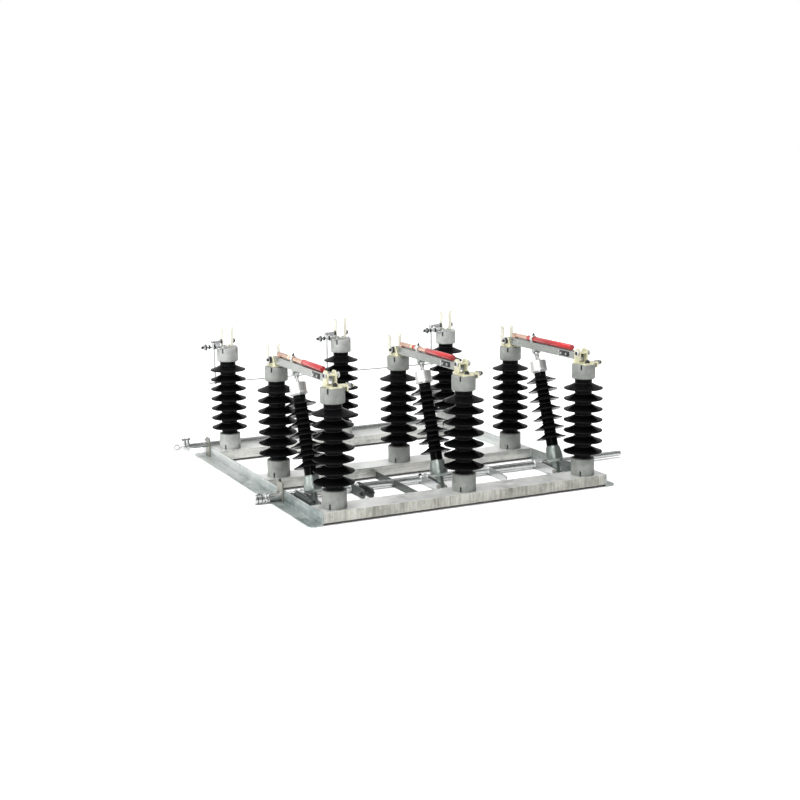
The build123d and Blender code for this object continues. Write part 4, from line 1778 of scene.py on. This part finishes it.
@dataclass
class Blades(SubAssembly):
    """The three blades, each with its copper rod, red sleeve, clamp, clasp and link pin.

    Args:
        half: Half a blade's width.
        clasp: Y of the clasp's ends.
        clasp_height: Height of the clasp.
        clasp_plate: Thickness of a clasp plate.
        clasp_bolt: Distance of its bolts from the clasp's ends.
        strap: Thickness, length and height of the bright strap behind the clasp.
        strap_at: Distance from the clasp to the strap's middle.
        clamp: Y of the rod clamp's middle.
        clamp_wall: Thickness of the rod clamp's ring.
        clamp_length: Length of that ring.
        clamp_rim: Width of its softened rims.
        saddle_in: How far the saddle under the ring is narrower than it on each side.
        saddle_length: Length of the saddle.
        saddle_height: Height of the saddle.
        clamp_screw: Washer and head of its screw.
        rod_height: Height of the copper rod.
        rod: Radius of the copper rod.
        sleeve: Radius of the red sleeve.
        sleeve_end: Thickness of the sleeve's closed end, and how round its rim is.
        bands: Phase, distance behind the clamp and finish of each band round a rod.
        band: Thickness and length of a band.
        pin: The pin that joins a push insulator to its blade.
        hook: Radius of the hook ring and of its wire.
        hook_rise: Height of the ring's middle above the rod.
    """

    half: float = 0.013
    clasp: tuple[float, float] = (-0.539, -0.475)
    clasp_height: float = 0.020
    clasp_plate: float = 0.0028
    clasp_bolt: float = 0.014
    strap: Point = (0.0024, 0.010, 0.026)
    strap_at: float = 0.006
    clamp: float = -0.252
    clamp_wall: float = 0.0034
    clamp_length: float = 0.017
    clamp_rim: float = 0.0015
    saddle_in: float = 0.002
    saddle_length: float = 0.0172
    saddle_height: float = 0.008
    clamp_screw: Stack = (Fixing(Shape.disc, 0.0, 0.0055, 0.0020),
                          Fixing(Shape.hexagon, 0.0020, 0.0085, 0.0045))
    rod_height: float = 0.549
    rod: float = 0.0085
    sleeve: float = 0.011
    sleeve_end: tuple[float, float] = (0.0022, 0.0014)
    bands: tuple[tuple[int, float, Coat], ...] = (
        (1, 0.030, Coat.TIN), (2, 0.030, Coat.SLEEVE), (2, 0.046, Coat.TIN))
    band: tuple[float, float] = (0.0012, 0.012)
    pin: CrossPin = CrossPin(0.004, 0.0075, 0.0030, 0.0014, 0.0065, 0.0038, 0.0055, 0.0009, 0.0006, 0.0008)
    hook: tuple[float, float] = (0.0125, 0.0010)
    hook_rise: float = 0.0255

    def build(self) -> None:
        """Finishes and details the blades."""
        for number, x in enumerate(self.layout.phases, 1):
            self.dress(f"blade_{number}", Coat.BLADE)
            self.dress(f"arc_rod_{number}", Coat.COPPER, 0.0005)
            self.dress(f"arc_tube_{number}", Coat.SLEEVE, 0.0006)
            self.clasp_plates(number, x)
            self.rod_clamp(number, x)
            self.rod_bands(number, x)
            self.link_pin(number, x)
            self.closed_end(number, x)
        self.hook_ring(3, self.layout.phases[-1])

    def clasp_plates(self, number: int, x: float) -> None:
        """Dark clasp plates with two bolts on each side, and the bright strap behind them.

        Args:
            number: Its phase, from 1.
            x: The phase's X.
        """
        front, rear = self.clasp
        z = self.layout.blade_pivot[1]
        dark = Shape()
        bright = Shape()
        for side in Side:
            face = x + side * self.half
            dark.slab((face + side * self.clasp_plate / 2, (front + rear) / 2, z),
                      (self.clasp_plate, rear - front, self.clasp_height), edge=0.0009)
            for y in (front + self.clasp_bolt, rear - self.clasp_bolt):
                at = (face + side * self.clasp_plate, y, z)
                bright.hexagon(outward(at, side), flats=0.0095, height=0.0038)
            at = (face + side * self.strap[0] / 2, rear + self.strap_at, z)
            bright.slab(at, self.strap, edge=0.0008)
        self.keep(dark, f"blade_clasp_{number}", Coat.DARK, f"blade_{number}")
        self.keep(bright, f"clasp_bolts_{number}", Coat.ZINC, f"blade_{number}")

    def rod_clamp(self, number: int, x: float) -> None:
        """Pale saddle over the rod with its upright clamping screw.

        Args:
            number: Its phase, from 1.
            x: The phase's X.
        """
        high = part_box(f"arc_tube_{number}")[1]
        grip = (self.sleeve if high.y > self.clamp else self.rod) + self.clamp_wall
        inner = grip - self.clamp_rim
        shape = Shape()
        place = facing((x, self.clamp + self.clamp_length / 2, self.rod_height), -REARWARD)
        shape.turn(place, [(inner, 0.0), (grip, 0.0005), (grip, self.clamp_length - 0.0005),
                           (inner, self.clamp_length)], closed=True)
        shape.slab((x, self.clamp, self.rod_height - grip - 0.001),
                   (2 * (grip - self.saddle_in), self.saddle_length, self.saddle_height))
        self.keep(shape, f"rod_clamp_{number}", Coat.WHITE, f"blade_{number}")
        screw = Shape()
        top = facing((x, self.clamp, self.rod_height + grip - 0.0008), UP)
        fit(top, self.clamp_screw, screw)
        screw.thread(raised(top, 0.0060), radius=0.0027, length=0.0060, pitch=0.001)
        self.keep(screw, f"clamp_screw_{number}", Coat.DARK, f"blade_{number}")

    def rod_bands(self, number: int, x: float) -> None:
        """Narrow bands round the copper rod, behind its clamp.

        Args:
            number: Its phase, from 1.
            x: The phase's X.
        """
        wall, length = self.band
        for phase, offset, coat in self.bands:
            if phase == number:
                shape = Shape()
                place = facing((x, self.clamp + offset, self.rod_height), REARWARD)
                shape.disc(place, self.rod + wall, length, edge=0.0008, bore=self.rod - 0.0002)
                self.keep(shape, f"rod_band_{number}_{coat.name.lower()}", coat, f"blade_{number}")

    def link_pin(self, number: int, x: float) -> None:
        """Heads and split pin of the pin that joins the push insulator to the blade.

        Args:
            number: Its phase, from 1.
            x: The phase's X.
        """
        shape = Shape()
        self.pin.place(shape, x, self.layout.link_top, self.half)
        self.keep(shape, f"link_pin_{number}", Coat.ZINC, f"blade_{number}")

    def closed_end(self, number: int, x: float) -> None:
        """Closed red end over the copper rod, in front of its sleeve.

        Args:
            number: Its phase, from 1.
            x: The phase's X.
        """
        shape = Shape()
        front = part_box(f"arc_tube_{number}")[0].y
        shape.disc(facing((x, front + 0.0002, self.rod_height), -REARWARD), self.sleeve, *self.sleeve_end)
        self.keep(shape, f"sleeve_end_{number}", Coat.SLEEVE, f"blade_{number}")

    def hook_ring(self, number: int, x: float) -> None:
        """Thin wire ring on one clamp, for a hook stick.

        Args:
            number: Its phase, from 1.
            x: The phase's X.
        """
        shape = Shape()
        radius, wire = self.hook
        middle = Vector((x, self.clamp, self.rod_height + self.hook_rise))
        shape.tube([middle + Vector((0.0, radius * math.cos(a), radius * math.sin(a)))
                    for a in whole_turn(36)], wire, 8, closed=True)
        self.keep(shape, "hook_ring", Coat.ZINC, f"blade_{number}")


# ---- studio -----------------------------------------------------------------
@dataclass(frozen=True)
class Lamp:
    """A soft square lamp aimed at a point.

    Args:
        name: Its name.
        place: Where it hangs.
        power: Its power, in watts.
        size: Its width.
        aim: The point that it faces.
    """

    name: str
    place: Point
    power: float
    size: float
    aim: Point = (0.0, 0.0, 0.25)


@dataclass(frozen=True)
class Sun:
    """A far, even light.

    Args:
        name: Its name.
        towards: Direction in which it stands.
        strength: Its strength.
        width: How wide it looks, in degrees.
    """

    name: str
    towards: Point
    strength: float
    width: float


@dataclass
class Studio:
    """Pale floor, soft lamps, white surroundings and the camera.

    Args:
        lamps: The lamps.
        suns: The far, even lights.
        bright_side: Direction in which the surroundings are brightest.
        dim: Brightness of the surroundings away from it.
        bright: Brightness of the surroundings towards it.
        rising: Cosines of the angles from it between which they brighten.
        azimuth: Camera's bearing, in degrees; 0 looks along +Y.
        elevation: Camera's height above the horizon, in degrees.
        roll: Camera's tilt about its own line of sight, in degrees.
        distance: Distance from the camera to its target.
        target: The point that it looks at.
        lens: Focal length, in millimetres.
        shift: Shift of the view across and up.
    """

    lamps: tuple[Lamp, ...] = (
        Lamp("overhead_softbox", (-0.6, 0.6, 3.2), 45.0, 2.2),
        Lamp("front_softbox", (-3.4, -3.2, 2.2), 12.0, 1.0),
        Lamp("small_reflector", (-2.2, -4.0, 1.7), 22.0, 0.22),
        Lamp("left_softbox", (-2.3, 0.3, 1.0), 9.0, 0.8, (-0.5, 0.0, 0.4)),
    )
    suns: tuple[Sun, ...] = (
        Sun("broad_light", (-0.35, -0.30, 1.0), 2.3, 40.0),
        Sun("side_light", (-1.0, -0.10, 0.55), 0.6, 50.0),
    )
    bright_side: Point = (-0.45, 0.42, 0.79)
    dim: float = 0.10
    bright: float = 1.0
    rising: tuple[float, float] = (-0.35, 0.75)
    azimuth: float = -25.41
    elevation: float = 9.234
    roll: float = -0.746
    distance: float = 4.9289
    target: Point = (-0.3438, -0.625, 0.5351)
    lens: float = 60.6
    shift: tuple[float, float] = (0.0234, -0.0354)

    def build(self) -> None:
        """Builds the floor, the lights, the surroundings and the camera."""
        self.floor()
        for lamp in self.lamps:
            data = bpy.data.lights.new(lamp.name, "AREA")
            data.energy = lamp.power
            data.size = lamp.size
            self.hang(data, Vector(lamp.aim) - Vector(lamp.place), lamp.place)
        for sun in self.suns:
            data = bpy.data.lights.new(sun.name, "SUN")
            data.energy = sun.strength
            data.angle = math.radians(sun.width)
            self.hang(data, -Vector(sun.towards))
        self.surroundings()
        bpy.context.scene.view_settings.view_transform = "Standard"
        self.camera()

    def hang(self, data: bpy.types.Light, along: Vector, place: Point = (0.0, 0.0, 0.0)) -> None:
        """Hangs a light.

        Args:
            data: The light.
            along: Direction in which it shines.
            place: Where it hangs.
        """
        hung = bpy.data.objects.new(data.name, data)
        hung.location = place
        hung.rotation_euler = along.to_track_quat("-Z", "Y").to_euler()
        bpy.context.scene.collection.objects.link(hung)

    def surroundings(self) -> None:
        """Sets a white backdrop to look at, and lights by a room that is bright above and dim in front."""
        world = bpy.data.worlds.new("studio")
        world.use_nodes = True
        nodes = Nodes(world.node_tree)
        around = nodes.add("TexCoord").outputs["Generated"]
        towards = nodes.add("VectorMath", {0: around, 1: self.bright_side}, operation="DOT_PRODUCT")
        strength = nodes.spread(towards.outputs["Value"], self.dim, self.bright, *self.rising)
        white = (1.0, 1.0, 1.0, 1.0)
        room = nodes.tree.nodes["Background"]
        nodes.feed(room.inputs["Color"], white)
        nodes.feed(room.inputs["Strength"], strength)
        backdrop = nodes.add("Background", {"Color": white})
        seen = nodes.add("LightPath").outputs["Is Camera Ray"]
        choice = nodes.add("MixShader", {0: seen, 1: room.outputs[0], 2: backdrop.outputs[0]})
        nodes.feed(nodes.tree.nodes["World Output"].inputs["Surface"], choice.outputs[0])
        bpy.context.scene.world = world

    def floor(self) -> None:
        """Lays the pale floor."""
        mesh = bmesh.new()
        bmesh.ops.create_grid(mesh, x_segments=1, y_segments=1, size=60.0)
        data = bpy.data.meshes.new("floor")
        mesh.to_mesh(data)
        mesh.free()
        graph = Graph("pale_floor")
        pale = graph.blend(graph.noise(3.0), (0.92, 0.92, 0.92), (0.95, 0.95, 0.95))
        data.materials.append(graph.finished(base_color=pale, roughness=0.9))
        floor = bpy.data.objects.new("floor", data)
        bpy.context.scene.collection.objects.link(floor)

    def camera(self) -> None:
        """Sets the camera."""
        bearing, height, roll = (math.radians(a) for a in (self.azimuth, self.elevation, self.roll))
        back = Vector((math.sin(bearing) * math.cos(height), -math.cos(bearing) * math.cos(height),
                       math.sin(height)))
        level = Vector((math.cos(bearing), math.sin(bearing), 0.0))
        upright = back.cross(level)
        right = math.cos(roll) * level + math.sin(roll) * upright
        up = math.cos(roll) * upright - math.sin(roll) * level
        data = bpy.data.cameras.new("viewpoint")
        data.lens = self.lens
        data.shift_x, data.shift_y = self.shift
        data.clip_end = 200.0
        camera = bpy.data.objects.new("viewpoint", data)
        axes = Matrix((right, up, back)).transposed().to_4x4()
        camera.matrix_world = Matrix.Translation(Vector(self.target) + back * self.distance) @ axes
        bpy.context.scene.collection.objects.link(camera)
        bpy.context.scene.camera = camera


def main() -> None:
    """Builds the sub-assemblies in order and logs each piece."""
    logging.basicConfig(level=logging.INFO, format="%(message)s")
    layout = Layout.read()
    shop = Workshop()
    for kind in (BaseFrame, PostInsulators, PushInsulators, OperatingShaft, Supports, TripGear,
                 Contacts, Blades):
        assembly = kind(layout, shop)
        assembly.build()
        for name in assembly.made:
            LOG.info("%s: %s", kind.__name__, name)
    Studio().build()


if __name__ == "__main__":
    main()
